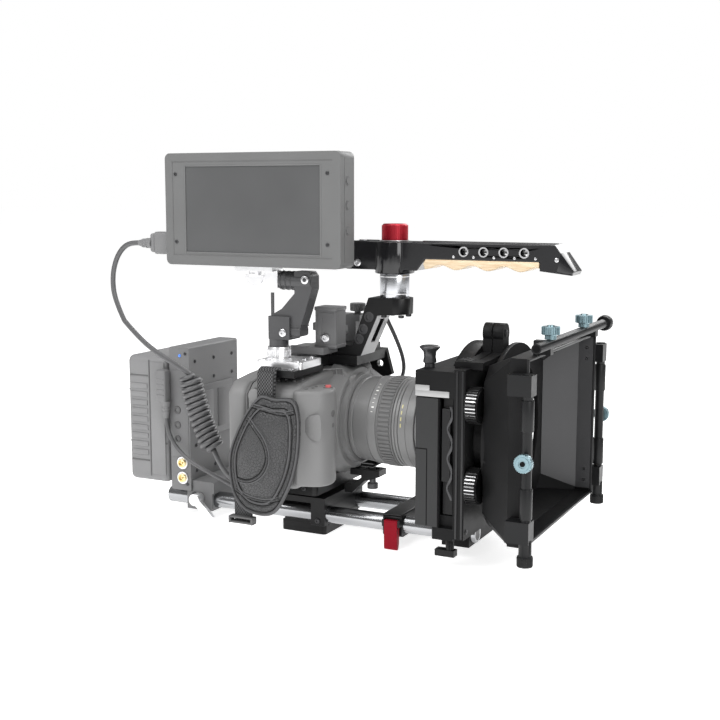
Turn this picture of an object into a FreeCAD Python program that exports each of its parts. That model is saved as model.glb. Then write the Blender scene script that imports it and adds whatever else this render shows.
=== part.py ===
import FreeCAD, Part
import Sketcher
import math
import os
import re

# Cinema camera rig: a camera with lens, hand strap and cage on two 15 mm rods, with a matte box,
# a top handle, a monitor on an arm and a battery at the rear. Millimetres, +X out of the lens,
# +Y to the operator's left, +Z up. The origin is the tripod thread's centre on the bottom face.

Vector = FreeCAD.Vector
doc = FreeCAD.newDocument("cinema_camera_rig")
sheet = doc.addObject("Spreadsheet::Sheet", "Dims")
known = {}
subParts = []
turnTo = {
    "x": FreeCAD.Rotation(Vector(0, 1, 0), 90),
    "y": FreeCAD.Rotation(Vector(1, 0, 0), -90),
    "z": FreeCAD.Rotation(),
}


def size(**values):
    """Adds driving dimensions to the sheet, one row each, with the name as the cell's alias."""
    for name, value in values.items():
        row = len(known) + 1
        sheet.set(f"A{row}", name)
        sheet.set(f"B{row}", str(value))
        sheet.setAlias(f"B{row}", name)
        known[name] = value
    sheet.recompute()


def formula(text):
    """The text with each dimension's name turned into a reference to its cell."""
    return re.sub(r"[A-Za-z]\w*", lambda word: "Dims." + word.group(), str(text))


def value(text):
    """The number that a formula on the sheet's dimensions gives."""
    for name in sorted(set(re.findall(r"[A-Za-z]\w*", str(text))), key=len, reverse=True):
        text = re.sub(rf"\b{name}\b", f"({known[name]})", text)
    scratch.setExpression("Length", f"({text}) * 1 mm")
    scratch.recompute()
    return scratch.Length.Value


def bind(thing, prop, text):
    thing.setExpression(prop, formula(text))


def box(name, x, y, z):
    """A block between a low and a high face along each axis."""
    block = doc.addObject("Part::Box", name)
    for side, axis, (low, high) in zip(("Length", "Width", "Height"), "xyz", (x, y, z)):
        bind(block, side, f"({high}) - ({low})")
        bind(block, f"Placement.Base.{axis}", low)
    return block


def rod(name, axis, radius, along, at, tip=None):
    """A cylinder, or a cone if a tip radius is given, along an axis through two cross places."""
    kind = "Part::Cylinder" if tip is None else "Part::Cone"
    pin = doc.addObject(kind, name)
    bind(pin, "Radius" if tip is None else "Radius1", radius)
    if tip is not None:
        bind(pin, "Radius2", tip)
    bind(pin, "Height", f"({along[1]}) - ({along[0]})")
    pin.Placement = FreeCAD.Placement(Vector(), turnTo[axis])
    cross = iter(at)
    for letter in "xyz":
        bind(pin, f"Placement.Base.{letter}", along[0] if letter == axis else next(cross))
    return pin


def fuse(name, *things):
    whole = doc.addObject("Part::MultiFuse", name)
    whole.Shapes = list(things)
    return whole


def cut(name, base, *tools):
    rest = doc.addObject("Part::Cut", name)
    rest.Base = base
    rest.Tool = tools[0] if len(tools) == 1 else fuse(name + "_tools", *tools)
    return rest


def outline(body, name, plane, points, offset="0"):
    """A closed outline of straight lines on a body's origin plane, each corner tied to the sheet."""
    sketch = body.newObject("Sketcher::SketchObject", name)
    plane = next(f for f in body.Origin.OriginFeatures if f.Role == plane)
    sketch.AttachmentSupport = [(plane, "")]
    sketch.MapMode = "FlatFace"
    bind(sketch, "AttachmentOffset.Base.z", offset)
    places = [Vector(value(u), value(v), 0) for u, v in points]
    for i, place in enumerate(places):
        sketch.addGeometry(Part.LineSegment(place, places[(i + 1) % len(places)]), False)
    for i, (u, v) in enumerate(points):
        following = (i + 1) % len(points)
        sketch.addConstraint(Sketcher.Constraint("Coincident", i, 2, following, 1))
        for kind, text, number in (("DistanceX", u, places[i].x), ("DistanceY", v, places[i].y)):
            at = sketch.addConstraint(Sketcher.Constraint(kind, i, 1, number))
            bind(sketch, f"Constraints[{at}]", text)
    return sketch


def plate(name, plane, points, low, high):
    """A pad of an outline: XY_Plane points are (x, y), XZ_Plane (x, z), YZ_Plane (y, z)."""
    body = doc.addObject("PartDesign::Body", name)
    facing = -1 if plane == "XZ_Plane" else 1
    start = f"-({high})" if facing < 0 else low
    sketch = outline(body, name + "_outline", plane, points, start)
    pad = body.newObject("PartDesign::Pad", name + "_pad")
    pad.Profile = sketch
    bind(pad, "Length", f"({high}) - ({low})")
    return body


def turned(name, axis, points, at):
    """A piece turned on a lathe: points are (place along the axis, radius)."""
    body = doc.addObject("PartDesign::Body", name)
    sketch = outline(body, name + "_profile", "XZ_Plane", [(r, a) for a, r in points])
    spin = body.newObject("PartDesign::Revolution", name + "_turn")
    spin.Profile = sketch
    spin.ReferenceAxis = (sketch, ["V_Axis"])
    spin.Angle = 360
    body.Placement = FreeCAD.Placement(Vector(), turnTo[axis])
    cross = iter(at)
    for letter in "xyz":
        if letter != axis:
            bind(body, f"Placement.Base.{letter}", next(cross))
    return body


def rounded(name, base, radius, pick):
    """Rounds the edges that pick chooses."""
    doc.recompute()
    soft = doc.addObject("Part::Fillet", name)
    soft.Base = base
    amount = value(radius)
    edges = enumerate(base.Shape.Edges, 1)
    soft.Edges = [(i, amount, amount) for i, edge in edges if pick(edge)]
    return soft


def along(axis):
    """Picks the straight edges that run along one axis."""
    unit = dict(x=Vector(1, 0, 0), y=Vector(0, 1, 0), z=Vector(0, 0, 1))[axis]

    def pick(edge):
        if edge.Curve.TypeId != "Part::GeomLine":
            return False
        return abs(edge.tangentAt(edge.FirstParameter).dot(unit)) > 0.999

    return pick


def subPart(label, thing):
    thing.Label = label
    subParts.append(thing)
    return thing


def ring(name, axis, outer, inner, reach, at):
    return cut(name, rod(name + "_outer", axis, outer, reach, at),
               rod(name + "_bore", axis, inner, (f"{reach[0]} - 1", f"{reach[1]} + 1"), at))


def tube(label, radius, points):
    """A round cord along straight runs joined by the largest tangent arcs that the runs allow."""
    places = [Vector(*p) for p in points]
    edges = []
    start = places[0]
    radii = []
    for before, corner, after in zip(places, places[1:], places[2:]):
        back, ahead = before - corner, after - corner
        run = min(back.Length, ahead.Length)
        back.normalize()
        ahead.normalize()
        halfTurn = (math.pi - back.getAngle(ahead)) / 2
        leave, join = corner + back * 0.45 * run, corner + ahead * 0.45 * run
        radii.append(0.45 * run / math.tan(halfTurn))
        middle = back + ahead
        middle.normalize()
        bulge = corner + middle * (radii[-1] / math.cos(halfTurn) - radii[-1])
        edges += [Part.LineSegment(start, leave).toShape(), Part.Arc(leave, bulge, join).toShape()]
        start = join
    edges.append(Part.LineSegment(start, places[-1]).toShape())
    path = Part.Wire(edges)
    facing = places[1] - places[0]
    section = Part.Wire(Part.makeCircle(value(radius), places[0], facing))
    sweep = Part.BRepOffsetAPI.MakePipeShell(path)
    sweep.add(section)
    sweep.build()
    sweep.makeSolid()
    cord = doc.addObject("Part::Feature", label)
    cord.Shape = sweep.shape()
    expected = math.pi * value(radius) ** 2 * path.Length
    print(f"{label}: {path.Length:.0f} mm, radii {[round(r) for r in radii]},"
          f" volume {cord.Shape.Volume / expected:.3f} of section x length")
    return subPart(label, cord)


scratch = doc.addObject("Part::Box", "scratch")
size(
    rodRadius=7.5, rodHole=7.53, rodSide=30, rodLevel=20, rodRear=-144, rodFront=168, rodWall=2.5,
    axisLevel=105,
)


def rodBores(name, low, high):
    """The two holes that a clamp on the rods needs."""
    sides = (("near", "-rodSide"), ("far", "rodSide"))
    return [rod(f"{name}_{s}_bore", "x", "rodHole", (low, high), (y, "rodLevel")) for s, y in sides]


# --- rods and the base that holds them ---
subPart("rods", fuse("rods", *[
    ring(f"rod_{side}", "x", "rodRadius", "rodRadius - rodWall", ("rodRear", "rodFront"), (y, "rodLevel"))
    for side, y in (("near", "-rodSide"), ("far", "rodSide"))
]))

size(baseRear=-23, baseFront=22, baseSide=30, baseTop=9.4, bigThread=4.76, smallThread=3.18,
     threadStep=13)
threads = [
    rod("thread_big", "z", "bigThread", ("-1", "baseTop + 1"), ("0", "0")),
    rod("thread_small", "z", "smallThread", ("-1", "baseTop + 1"), ("threadStep", "0")),
    rod("thread_pin", "z", "smallThread", ("-1", "baseTop + 1"), ("-threadStep", "0")),
]
block = box("base_block", ("baseRear", "baseFront"), ("-baseSide", "baseSide"), ("0", "baseTop"))
block = rounded("base_round", block, "3", along("z"))
subPart("base_plate", cut("base_plate", block, *threads))

size(clampRear=-20, clampFront=26, clampSide=39, wrapLong=14, clampTop=36, clampStep=30.6, clampGap=1.2)
clampBlocks = [
    box("clamp_core", ("clampRear", "clampFront"), ("-rodSide", "rodSide"), ("baseTop", "clampTop")),
    box("clamp_wrap", ("clampFront - wrapLong", "clampFront"), ("-clampSide", "clampSide"),
        ("baseTop + clampGap", "clampTop")),
    box("clamp_top", ("clampRear - 4", "clampFront"), ("-clampSide", "clampSide"),
        ("clampStep", "clampTop")),
]
subPart("rod_clamp", cut("rod_clamp", fuse("clamp_fused", *clampBlocks),
                         *rodBores("clamp", "clampRear - 9", "clampFront + 9")))

size(plateRear=-36, plateFront=30, plateSide=62, plateLow=44, plateTop=56.6, cameraScrew=3.1)
screwHole = rod("plate_screw_hole", "z", "cameraScrew + 0.1", ("clampTop - 1", "plateTop + 1"), ("0", "0"))
plateBlocks = [
    rounded("plate_round", box("plate_block", ("plateRear", "plateFront"), ("-plateSide", "plateSide"),
                               ("plateLow", "plateTop")), "4", along("z")),
    box("dovetail", ("clampRear", "clampFront - 10"), ("-baseSide", "baseSide"), ("clampTop", "plateLow")),
]
subPart("camera_plate", cut("camera_plate", fuse("plate_fused", *plateBlocks), screwHole))

# --- lens support ---
size(supportSide=8, barLow=53, barTop=58.8, barFront=65, barRear=36, stemRadius=3, padTop=70,
     padLow=62.6, padHalf=6, padSide=12, lensRadius=40, stemAt=55, nutLow=40.5, nutTop=45.3, nutRadius=5)
supportCorners = [
    ("plateFront + 0.2", "clampTop"), ("barRear + 2", "clampTop"), ("stemAt - 5", "barLow - 5"),
    ("stemAt + 2", "barLow - 3"), ("barFront", "barLow"), ("barFront", "barTop"), ("barRear", "barTop"),
    ("barRear", "barLow"), ("stemAt - 8", "barLow"), ("stemAt - 8", "barLow - 2"),
    ("barRear + 1", "plateLow"), ("plateFront + 0.2", "plateLow"),
]
support = plate("support_plate", "XZ_Plane", supportCorners, "-supportSide", "supportSide")
stemSlot = box("stem_slot", ("stemAt - 6", "stemAt + 6"), ("-stemRadius - 0.2", "stemRadius + 0.2"),
               ("clampTop", "barTop + 1"))
subPart("lens_support_bracket", cut("lens_support_bracket", support, stemSlot))
pad = cut(
    "pad_body",
    box("pad_block", ("stemAt - padHalf", "stemAt + padHalf"), ("-padSide", "padSide"),
        ("padLow", "padTop")),
    rod("pad_hollow", "x", "lensRadius + 0.7", ("stemAt - 20", "stemAt + 20"), ("0", "axisLevel")),
)
subPart("lens_support_pad", fuse(
    "lens_support_pad", pad,
    rod("pad_stem", "z", "stemRadius", ("nutLow", "padLow + 0.5"), ("stemAt", "0")),
    rod("pad_nut", "z", "nutRadius", ("nutLow", "nutTop"), ("stemAt", "0")),
))

# --- front rod clamp with its lever ---
size(frontClampRear=84, frontClampFront=102, frontClampSide=40, frontClampLow=10.5, frontClampTop=29.5,
     leverWide=12.4, leverRear=88, leverPivotY=-44.2, leverPivotZ=24, leverPin=1.5, leverTip=0.8)
frontBlock = rounded("front_clamp_round", box(
    "front_clamp_block", ("frontClampRear", "frontClampFront"), ("-frontClampSide", "frontClampSide"),
    ("frontClampLow", "frontClampTop")), "3", along("x"))
ears = [
    box(f"lever_ear_{i}", (low, f"{low} + 1.8"), ("-frontClampSide - 6.5", "-frontClampSide + 1"),
        ("leverPivotZ - 3", "leverPivotZ + 3"))
    for i, low in enumerate(("leverRear - 2", "leverRear + leverWide + 0.2"))
]
frontClamp = fuse(
    "front_clamp_fused", frontBlock, *ears,
    rod("lever_pin", "x", "leverPin", ("leverRear - 1", "leverRear + leverWide + 1"),
        ("leverPivotY", "leverPivotZ")),
    rod("tension_knob", "y", "7", ("frontClampSide - 1", "frontClampSide + 11"),
        ("frontClampRear + 9", "rodLevel")),
)
subPart("front_rod_clamp", cut("front_rod_clamp", frontClamp,
                               *rodBores("front", "frontClampRear - 1", "frontClampFront + 1")))
leverCorners = [
    ("leverPivotY - 2.7", "leverTip + 2"), ("leverPivotY - 2", "leverTip"), ("leverPivotY + 1", "leverTip"),
    ("leverPivotY + 2.6", "leverTip + 5"), ("leverPivotY + 2.6", "leverPivotZ + 1"),
    ("leverPivotY + 1.6", "leverPivotZ + 2.6"), ("leverPivotY - 2.7", "leverPivotZ + 2.6"),
]
lever = plate("lever_plate", "YZ_Plane", leverCorners, "leverRear", "leverRear + leverWide")
subPart("red_clamp_lever", cut(
    "red_clamp_lever", lever,
    rod("lever_bore", "x", "leverPin + 0.05", ("leverRear - 1", "leverRear + leverWide + 1"),
        ("leverPivotY", "leverPivotZ"))))

# --- camera body: front shell with the grip and the lens boss, and a rear shell ---
size(cameraRear=-39, cameraSplit=-20, cameraFront=30, cameraLow=57, cameraNear=-95, cameraFar=78,
     humpTop=153, gripFront=54, bossRadius=46, bossFront=42, shellWall=3, throat=26, mountFront=48)
front = [
    ("cameraNear", "cameraLow"), ("cameraFar", "cameraLow"), ("cameraFar", "humpTop - 20"),
    ("cameraFar - 14", "humpTop - 6"), ("42", "humpTop - 1"), ("0", "humpTop"), ("-32", "humpTop - 2"),
    ("-62", "humpTop - 4"), ("cameraNear + 9", "humpTop - 7"), ("cameraNear", "humpTop - 16"),
]
gripFace = [
    ("cameraFront - 1", "cameraNear + 42"), ("cameraFront + 8", "cameraNear + 41"),
    ("gripFront - 3", "cameraNear + 32"), ("gripFront", "cameraNear + 20"),
    ("gripFront - 5", "cameraNear + 5"), ("cameraFront + 6", "cameraNear"),
    ("cameraFront - 1", "cameraNear"),
]
cavity = (("cameraNear + shellWall + 2", "cameraFar - shellWall"),
          ("cameraLow + shellWall", "humpTop - 18"))
shell = fuse(
    "front_shell_fused",
    plate("front_shell_block", "YZ_Plane", front, "cameraSplit", "cameraFront"),
    plate("grip_block", "XY_Plane", gripFace, "cameraLow + 3", "humpTop - 10"),
    rod("lens_boss", "x", "bossRadius", ("cameraFront - 1", "bossFront"), ("0", "axisLevel")),
    rod("lens_mount", "x", "lensRadius", ("bossFront - 1", "mountFront"), ("0", "axisLevel")),
)
recordAt = ("46.5", "-70")
subPart("camera_front_shell", cut(
    "camera_front_shell", shell,
    box("front_cavity", ("cameraSplit - 1", "cameraFront - shellWall"), *cavity),
    rod("throat_bore", "x", "throat", ("cameraFront - shellWall - 1", "mountFront + 1"),
        ("0", "axisLevel")),
    rod("camera_thread", "z", "cameraScrew + 0.1", ("cameraLow - 1", "cameraLow + 12"), ("0", "0")),
    rod("record_well", "z", "2.6", ("humpTop - 15", "humpTop"), recordAt),
))
rear = plate("rear_shell_block", "YZ_Plane", front, "cameraRear", "cameraSplit - 0.1")
subPart("camera_rear_shell", cut(
    "camera_rear_shell", rear,
    box("rear_cavity", ("cameraRear + shellWall", "cameraSplit + 1"), *cavity),
    box("display_recess", ("cameraRear - 1", "cameraRear + 1.5"), ("-52", "64"), ("68", "138")),
))
subPart("record_button", rod("record_button", "z", "2.4", ("humpTop - 13", "humpTop - 8.2"), recordAt))
subPart("main_board", fuse(
    "main_board",
    box("board", ("-14", "-12"), ("-48", "70"), ("66", "128")),
    box("image_sensor", ("-12.5", "-6"), ("-14", "14"), ("axisLevel - 10", "axisLevel + 10")),
    box("heat_sink", ("-22", "-13.5"), ("-30", "30"), ("80", "126")),
))
subPart("camera_battery", box("camera_battery", ("-4", "18"), ("-88", "-58"), ("62", "126")))

# --- lens ---
size(coreRadius=36, coreBore=31, lensFront=140, ringGap=0.3, zoomRear=76, zoomFront=91, focusRear=97,
     focusFront=112, ringOuter=40.4, ringBore=36.05)
barrel = [
    ("mountFront", "coreBore"), ("mountFront", "lensRadius - 1"), ("zoomRear - ringGap", "lensRadius - 0.5"),
    ("zoomRear - ringGap", "coreRadius"), ("zoomFront + ringGap", "coreRadius"),
    ("zoomFront + ringGap", "lensRadius - 0.3"), ("focusRear - ringGap", "lensRadius - 0.3"),
    ("focusRear - ringGap", "coreRadius"), ("focusFront + ringGap", "coreRadius"),
    ("focusFront + ringGap", "lensRadius - 1"), ("lensFront", "lensRadius - 1"),
    ("lensFront", "coreBore + 1"),
]
lensCentre = ("0", "axisLevel")
subPart("lens_barrel", turned("lens_barrel", "x", barrel, lensCentre))
subPart("zoom_ring", ring("zoom_ring", "x", "ringOuter", "ringBore", ("zoomRear", "zoomFront"), lensCentre))
subPart("focus_ring", ring("focus_ring", "x", "ringOuter - 0.4", "ringBore", ("focusRear", "focusFront"),
                           lensCentre))
glassPieces = [
    turned("front_element", "x", [("128", "0"), ("130", "30"), ("133", "30.8"), ("137", "0")], lensCentre),
    turned("middle_element", "x", [("88", "0"), ("91", "30.8"), ("95", "30.8"), ("98", "0")], lensCentre),
    turned("rear_element", "x", [("52", "0"), ("54", "30.8"), ("57", "30.8"), ("60", "0")], lensCentre),
]
subPart("lens_glass", fuse("lens_glass", *glassPieces))

# --- hand strap ---
size(padOuter=-113, padInner=-101)
strapEdge = [
    ("-32", "97"), ("-32", "62"), ("-25", "38"), ("-11", "32"), ("12", "35"), ("24", "55"), ("34", "86"),
    ("38", "112"), ("36", "133"), ("30", "139"), ("10", "136"), ("-6", "136"), ("-20", "122"),
]
strap = plate("strap_plate", "XZ_Plane", strapEdge, "padOuter", "padInner")
subPart("hand_strap_pad", strap)
webbing = fuse(
    "hand_strap_webbing",
    box("web_top", ("-6", "12"), ("padInner + 0.3", "padInner + 3"), ("120", "159.5")),
    box("web_fold", ("-6", "12"), ("padInner + 0.3", "-88"), ("158.2", "160.7")),
    box("web_low", ("-30", "-12"), ("padInner + 0.3", "padInner + 3"), ("24", "60")),
    box("web_under", ("-30", "-12"), ("padInner + 0.3", "-plateSide"), ("46", "49")),
    box("strap_buckle", ("-34", "-9"), ("padInner - 4", "padInner + 5"), ("23", "30")),
)
subPart("hand_strap_webbing", webbing)

# --- cage, riser and the things on the cage ---
size(cageLow=154, cageTop=163, cageSide=44, cageRear=-22, cageFront=20, armPlateLow=152, armPlateTop=158,
     tongueLow=154.5, tongueFront=47, tongueNear=-16, lugNear=44.5, lugFar=50, lugHole=3.2, lugHoleX=41,
     lugHoleZ=148.5, legLow=70, legThick=8, portLow=78, portTop=124)
cagePieces = [
    rounded("cage_round", box("cage_block", ("cageRear", "cageFront"), ("-cageSide", "cageSide"),
                              ("cageLow", "cageTop")), "4", along("z")),
    box("cage_arm", ("-9", "26"), ("-92", "-cageSide + 3"), ("armPlateLow", "armPlateTop")),
    box("cage_leg", ("cageRear + 4", "cageFront + 2"), ("cameraFar + 0.3", "cameraFar + legThick"),
        ("legLow", "cageTop")),
    box("cage_far_arm", ("cageRear + 4", "cageFront + 2"), ("cageSide - 3", "cameraFar + legThick"),
        ("tongueLow", "cageTop")),
    box("cage_tongue", ("cageFront - 2", "tongueFront"), ("tongueNear", "lugFar"), ("tongueLow", "cageTop")),
    plate("far_lug", "XZ_Plane", [
        ("cameraFront + 0.4", "cageLow - 4"), ("cameraFront + 4", "cageTop - 1"),
        ("tongueFront", "cageTop - 1"), ("tongueFront + 6.5", "cageLow - 15"),
        ("tongueFront - 1", "cageLow - 19"), ("cameraFront + 3", "cageLow - 11")], "lugNear", "lugFar"),
]
cageHoles = [
    rod("lug_hole", "y", "lugHole", ("lugNear - 5", "lugFar + 5"), ("lugHoleX", "lugHoleZ")),
    box("port_window", ("cageRear", "cageFront - 2"), ("cameraFar - 1", "cameraFar + legThick + 1"),
        ("portLow", "portTop")),
]
subPart("cage_plate", cut("cage_plate", fuse("cage_fused", *cagePieces), *cageHoles))

size(shoeRear=-5, shoeNear=-43, shoeFar=-15.5, shoeLow=166, shoeTop=172, towerRear=15, towerFront=35.5,
     towerNear=-34, towerTop=207, linkRear=8, linkFront=30, linkNear=15.5, linkFar=33, linkTop=196,
     windowRear=15, windowFront=22, windowLow=178, windowTop=186, linkKnobX=28, linkKnobY=24)
shoePieces = [
    box("shoe_root", ("shoeRear + 5", "cageFront - 2"), ("shoeNear + 3", "shoeFar"),
        ("cageTop", "shoeTop - 1")),
    box("shoe_foot", ("shoeRear", "towerFront - 8"), ("shoeNear", "shoeFar"), ("shoeLow", "shoeTop")),
    box("shoe_tower", ("towerRear", "towerFront"), ("towerNear", "shoeFar"), ("shoeTop - 1", "towerTop")),
    box("link_foot", ("shoeRear - 5", "cageFront"), ("shoeFar - 0.5", "linkFar + 1"),
        ("cageTop", "shoeLow + 3")),
    cut("link_block",
        box("link_tower", ("linkRear", "linkFront"), ("linkNear", "linkFar"), ("shoeLow + 2", "linkTop")),
        box("link_window", ("windowRear", "windowFront"), ("linkNear - 1", "linkFar + 1"),
            ("windowLow", "windowTop"))),
    box("link_top", ("linkRear", "linkFront + 4"), ("linkNear", "linkFar"), ("linkTop - 6", "linkTop")),
    rod("link_stem", "z", "3", ("linkTop - 1", "linkTop + 4"), ("linkKnobX", "linkKnobY")),
    rod("link_knob", "z", "6.8", ("linkTop + 3", "linkTop + 10"), ("linkKnobX", "linkKnobY")),
]
subPart("shoe_clamp", fuse("shoe_clamp", *shoePieces))

size(riserSide=14, riserTop=215, riserRear=57, riserFront=92, riserThread=3.2, postX=76, footRear=21,
     footFront=49.5, footTop=172, headLow=201, headRear=66, slotHigh=196, slotLow=175, slotSide=4.5,
     headRound=12)
riserEdge = [
    ("footRear", "cageTop + 0.1"), ("footFront", "cageTop + 0.1"), ("headRear", "headLow - 1"),
    ("riserFront", "headLow"), ("riserFront", "riserTop"), ("riserRear", "riserTop"),
    ("riserRear - 12", "footTop + 10"), ("riserRear - 16", "footTop"), ("footRear", "footTop"),
]
riserHoles = [
    rod(f"riser_thread_{i}", "y", "riserThread", ("-riserSide - 1", "riserSide + 1"), place)
    for i, place in enumerate((("57.5", "198"), ("52", "187"), ("48", "178")))
]
slantSlot = box("riser_slot", ("riserRear - 7", "riserRear + 15"), ("-slotSide", "slotSide"),
                ("slotLow", "slotHigh"))
riserBody = rounded(
    "riser_round", plate("riser_plate", "XZ_Plane", riserEdge, "-riserSide", "riserSide"), "headRound",
    lambda edge: along("z")(edge) and edge.BoundBox.XMin > value("riserFront") - 1)
subPart("riser", cut("riser", riserBody, *riserHoles, slantSlot))

# --- handle on its post ---
size(postRadius=13, postShoulder=236, postNeck=9, handleTop=264.3, handleSide=12.5, handleRear=34,
     handleLow=239.6, handleFront=224, gripTop=250, gripRear=108, gripEnd=211, handleThread=3.2,
     threadFirst=145, threadPitch=17.7, threadLevel=257, knobRadius=11.5, knobLow=265.5, knobTop=279.5)
post = [
    ("riserTop", "0"), ("riserTop", "postRadius"), ("postShoulder", "postRadius"),
    ("postShoulder", "postNeck"), ("handleTop + 0.2", "postNeck"), ("handleTop + 0.2", "4"),
    ("knobTop - 4", "4"), ("knobTop - 4", "0"),
]
subPart("handle_post", turned("handle_post", "z", post, ("postX", "0")))
handleEdge = [
    ("handleRear", "handleLow"), ("gripRear - 6", "handleLow"), ("gripRear + 2", "gripTop"),
    ("gripEnd + 0.3", "gripTop"), ("gripEnd + 0.3", "handleLow + 3"), ("handleFront + 15", "handleLow"),
    ("handleFront + 16", "handleLow + 3"), ("handleFront", "handleTop"), ("handleRear + 4", "handleTop"),
    ("handleRear", "handleTop - 6"),
]
handleSolid = fuse(
    "handle_fused",
    plate("handle_bar", "XZ_Plane", handleEdge, "-handleSide", "handleSide"),
    rod("handle_boss", "z", "postRadius + 4.5", ("postShoulder + 0.3", "handleTop"), ("postX", "0")),
)
handleHoles = [
    rod(f"handle_thread_{i}", "y", "handleThread", ("-handleSide - 1", "handleSide + 1"),
        (f"threadFirst + {i} * threadPitch", "threadLevel"))
    for i in range(4)
]
subPart("handle_body", cut(
    "handle_body", handleSolid, *handleHoles,
    rod("post_bore", "z", "postNeck + 0.05", ("postShoulder - 1", "handleTop + 1"), ("postX", "0"))))
gripEdge = [("gripEnd", "gripTop - 0.1"), ("gripRear + 2.2", "gripTop - 0.1"), ("gripRear", "gripTop - 6")]
waves = 12
for i in range(waves + 1):
    swell = 2.0 * math.cos(6 * math.pi * i / waves)
    gripEdge.append((f"gripRear + 4 + {i} * (gripEnd - gripRear - 6) / {waves}",
                     f"handleLow + {3.4 - swell if i % 2 == 0 else 3.4:.1f}"))
subPart("handle_grip", plate("handle_grip", "XZ_Plane", gripEdge, "-handleSide - 0.8", "handleSide + 0.8"))
knob = [
    ("knobLow - 0.7", "4.1"), ("knobLow - 0.7", "knobRadius + 0.5"), ("knobLow", "knobRadius + 0.5"),
    ("knobLow", "knobRadius"), ("knobTop - 1", "knobRadius"), ("knobTop", "knobRadius - 1"),
    ("knobTop", "0"), ("knobTop - 3.8", "0"), ("knobTop - 3.8", "4.1"),
]
subPart("red_lock_knob", turned("red_lock_knob", "z", knob, ("postX", "0")))

# --- monitor arm ---
size(armX=-7, armY=-60, quickTop=164, armBaseTop=174, armBaseRadius=10, neckRadius=8.5, tiltLevel=231.5,
     tiltRadius=8, pinRadius=1.5)
subPart("arm_base", fuse(
    "arm_base",
    rounded("quick_round", box("quick_plate", ("-17", "27"), ("-82", "-44.5"), ("armPlateTop", "quickTop")),
            "2.5", along("z")),
    rod("arm_post", "z", "armBaseRadius", ("quickTop - 1", "armBaseTop"), ("armX", "armY")),
))
armEdge = [
    ("-12", "182"), ("8.7", "182"), ("17.5", "184"), ("18", "192"), ("23", "206"), ("29", "225"),
    ("29", "236"), ("26", "240"), ("12.5", "240"), ("12.5", "221"), ("0", "207.5"), ("-8", "203"),
    ("-12", "200"),
]
subPart("arm_link", fuse(
    "arm_link",
    plate("arm_plate", "XZ_Plane", armEdge, "armY - 7", "armY + 7"),
    box("arm_block", ("-12", "8.7"), ("armY - 9.5", "armY + 9.5"), ("181", "201")),
    rod("arm_neck", "z", "neckRadius", ("armBaseTop + 0.2", "182"), ("armX", "armY")),
    rod("tilt_barrel", "x", "tiltRadius", ("-3.5", "28"), ("armY", "tiltLevel")),
    rod("arm_pin", "z", "pinRadius", ("200", "221"), ("-9.5", "armY - 6")),
))

# --- monitor ---
size(monitorLeft=-109, monitorRight=63.5, monitorFace=-80, monitorBack=-55, monitorLow=243.5,
     monitorTop=340, monitorWall=3, screenLeft=-88, screenRight=44.5, screenLow=255, screenTop=328.5,
     buttonRadius=2.8, thumbX=-28, thumbY=-64)
subPart("monitor_mount", fuse(
    "monitor_mount",
    box("mount_cube", ("-17", "-4"), ("armY - 7", "armY + 7"), ("225", "240")),
    box("mount_foot", ("-42", "-4.5"), ("-75", "-57"), ("239.5", "monitorLow")),
))
subPart("thumb_screw", fuse(
    "thumb_screw",
    cut("thumb_ring", rod("thumb_disc", "y", "9.3", ("thumbY - 1.4", "thumbY + 1.4"), ("thumbX", "235.5")),
        box("thumb_top", ("thumbX - 12", "thumbX + 12"), ("thumbY - 3", "thumbY + 3"), ("235.5", "250"))),
    rod("thumb_head", "z", "5.5", ("234.5", "239.2"), ("thumbX", "thumbY")),
))
case = rounded("case_round", box("case_block", ("monitorLeft", "monitorRight"),
    ("monitorFace", "monitorBack"),
                                 ("monitorLow", "monitorTop")), "5", along("y"))
buttonPlaces = [("-67", f"{level}") for level in (316, 296, 275)]
caseCuts = [
    box("case_cavity", ("monitorLeft + monitorWall", "monitorRight - monitorWall"),
        ("monitorFace + 5", "monitorBack - monitorWall"),
        ("monitorLow + monitorWall", "monitorTop - monitorWall")),
    box("screen_recess", ("screenLeft", "screenRight"), ("monitorFace - 1", "monitorFace + 2"),
        ("screenLow", "screenTop")),
] + [
    rod(f"button_well_{i}", "x", "buttonRadius + 0.2", ("monitorRight - 5", "monitorRight + 1"), place)
    for i, place in enumerate(buttonPlaces, 1)
]
subPart("monitor_case", cut("monitor_case", case, *caseCuts))
subPart("monitor_screen", box("monitor_screen", ("screenLeft + 0.2", "screenRight - 0.2"),
                              ("monitorFace + 0.4", "monitorFace + 2"),
                              ("screenLow + 0.2", "screenTop - 0.2")))
for i, place in enumerate(buttonPlaces, 1):
    subPart(f"monitor_button_{i}", rod(f"monitor_button_{i}", "x", "buttonRadius",
                                       ("monitorRight - 2", "monitorRight + 0.8"), place))

# --- battery end ---
size(boxRear=-136, boxFront=-114, boxSide=42, boxLow=28, boxTop=164, packRear=-186, packFront=-139.4,
     packLow=32, packTop=154, cellRadius=9.2, cellLong=65)
boxShell = rounded("box_round", box("box_block", ("boxRear", "boxFront"), ("-boxSide", "boxSide"),
                                    ("boxLow", "boxTop")), "2", along("y"))
boxPieces = cut("box_hollow", boxShell, box(
    "box_cavity", ("boxRear + 3", "boxFront - 3"), ("-boxSide + 3", "boxSide - 3"),
    ("boxLow + 3", "boxTop - 3")))
wedge = box("battery_wedge", ("boxRear - 3.2", "boxRear + 1"), ("-22", "22"), ("50", "120"))
subPart("battery_plate", fuse("battery_plate", boxPieces, wedge))
packShell = rounded("pack_round", box("pack_block", ("packRear", "packFront"), ("-boxSide", "boxSide"),
                                      ("packLow", "packTop")), "8", along("y"))
subPart("battery_pack", cut("battery_pack", packShell, box(
    "pack_cavity", ("packRear + 2.5", "packFront - 2.5"), ("-boxSide + 2.5", "boxSide - 2.5"),
    ("packLow + 2.5", "packTop - 2.5"))))
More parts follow.
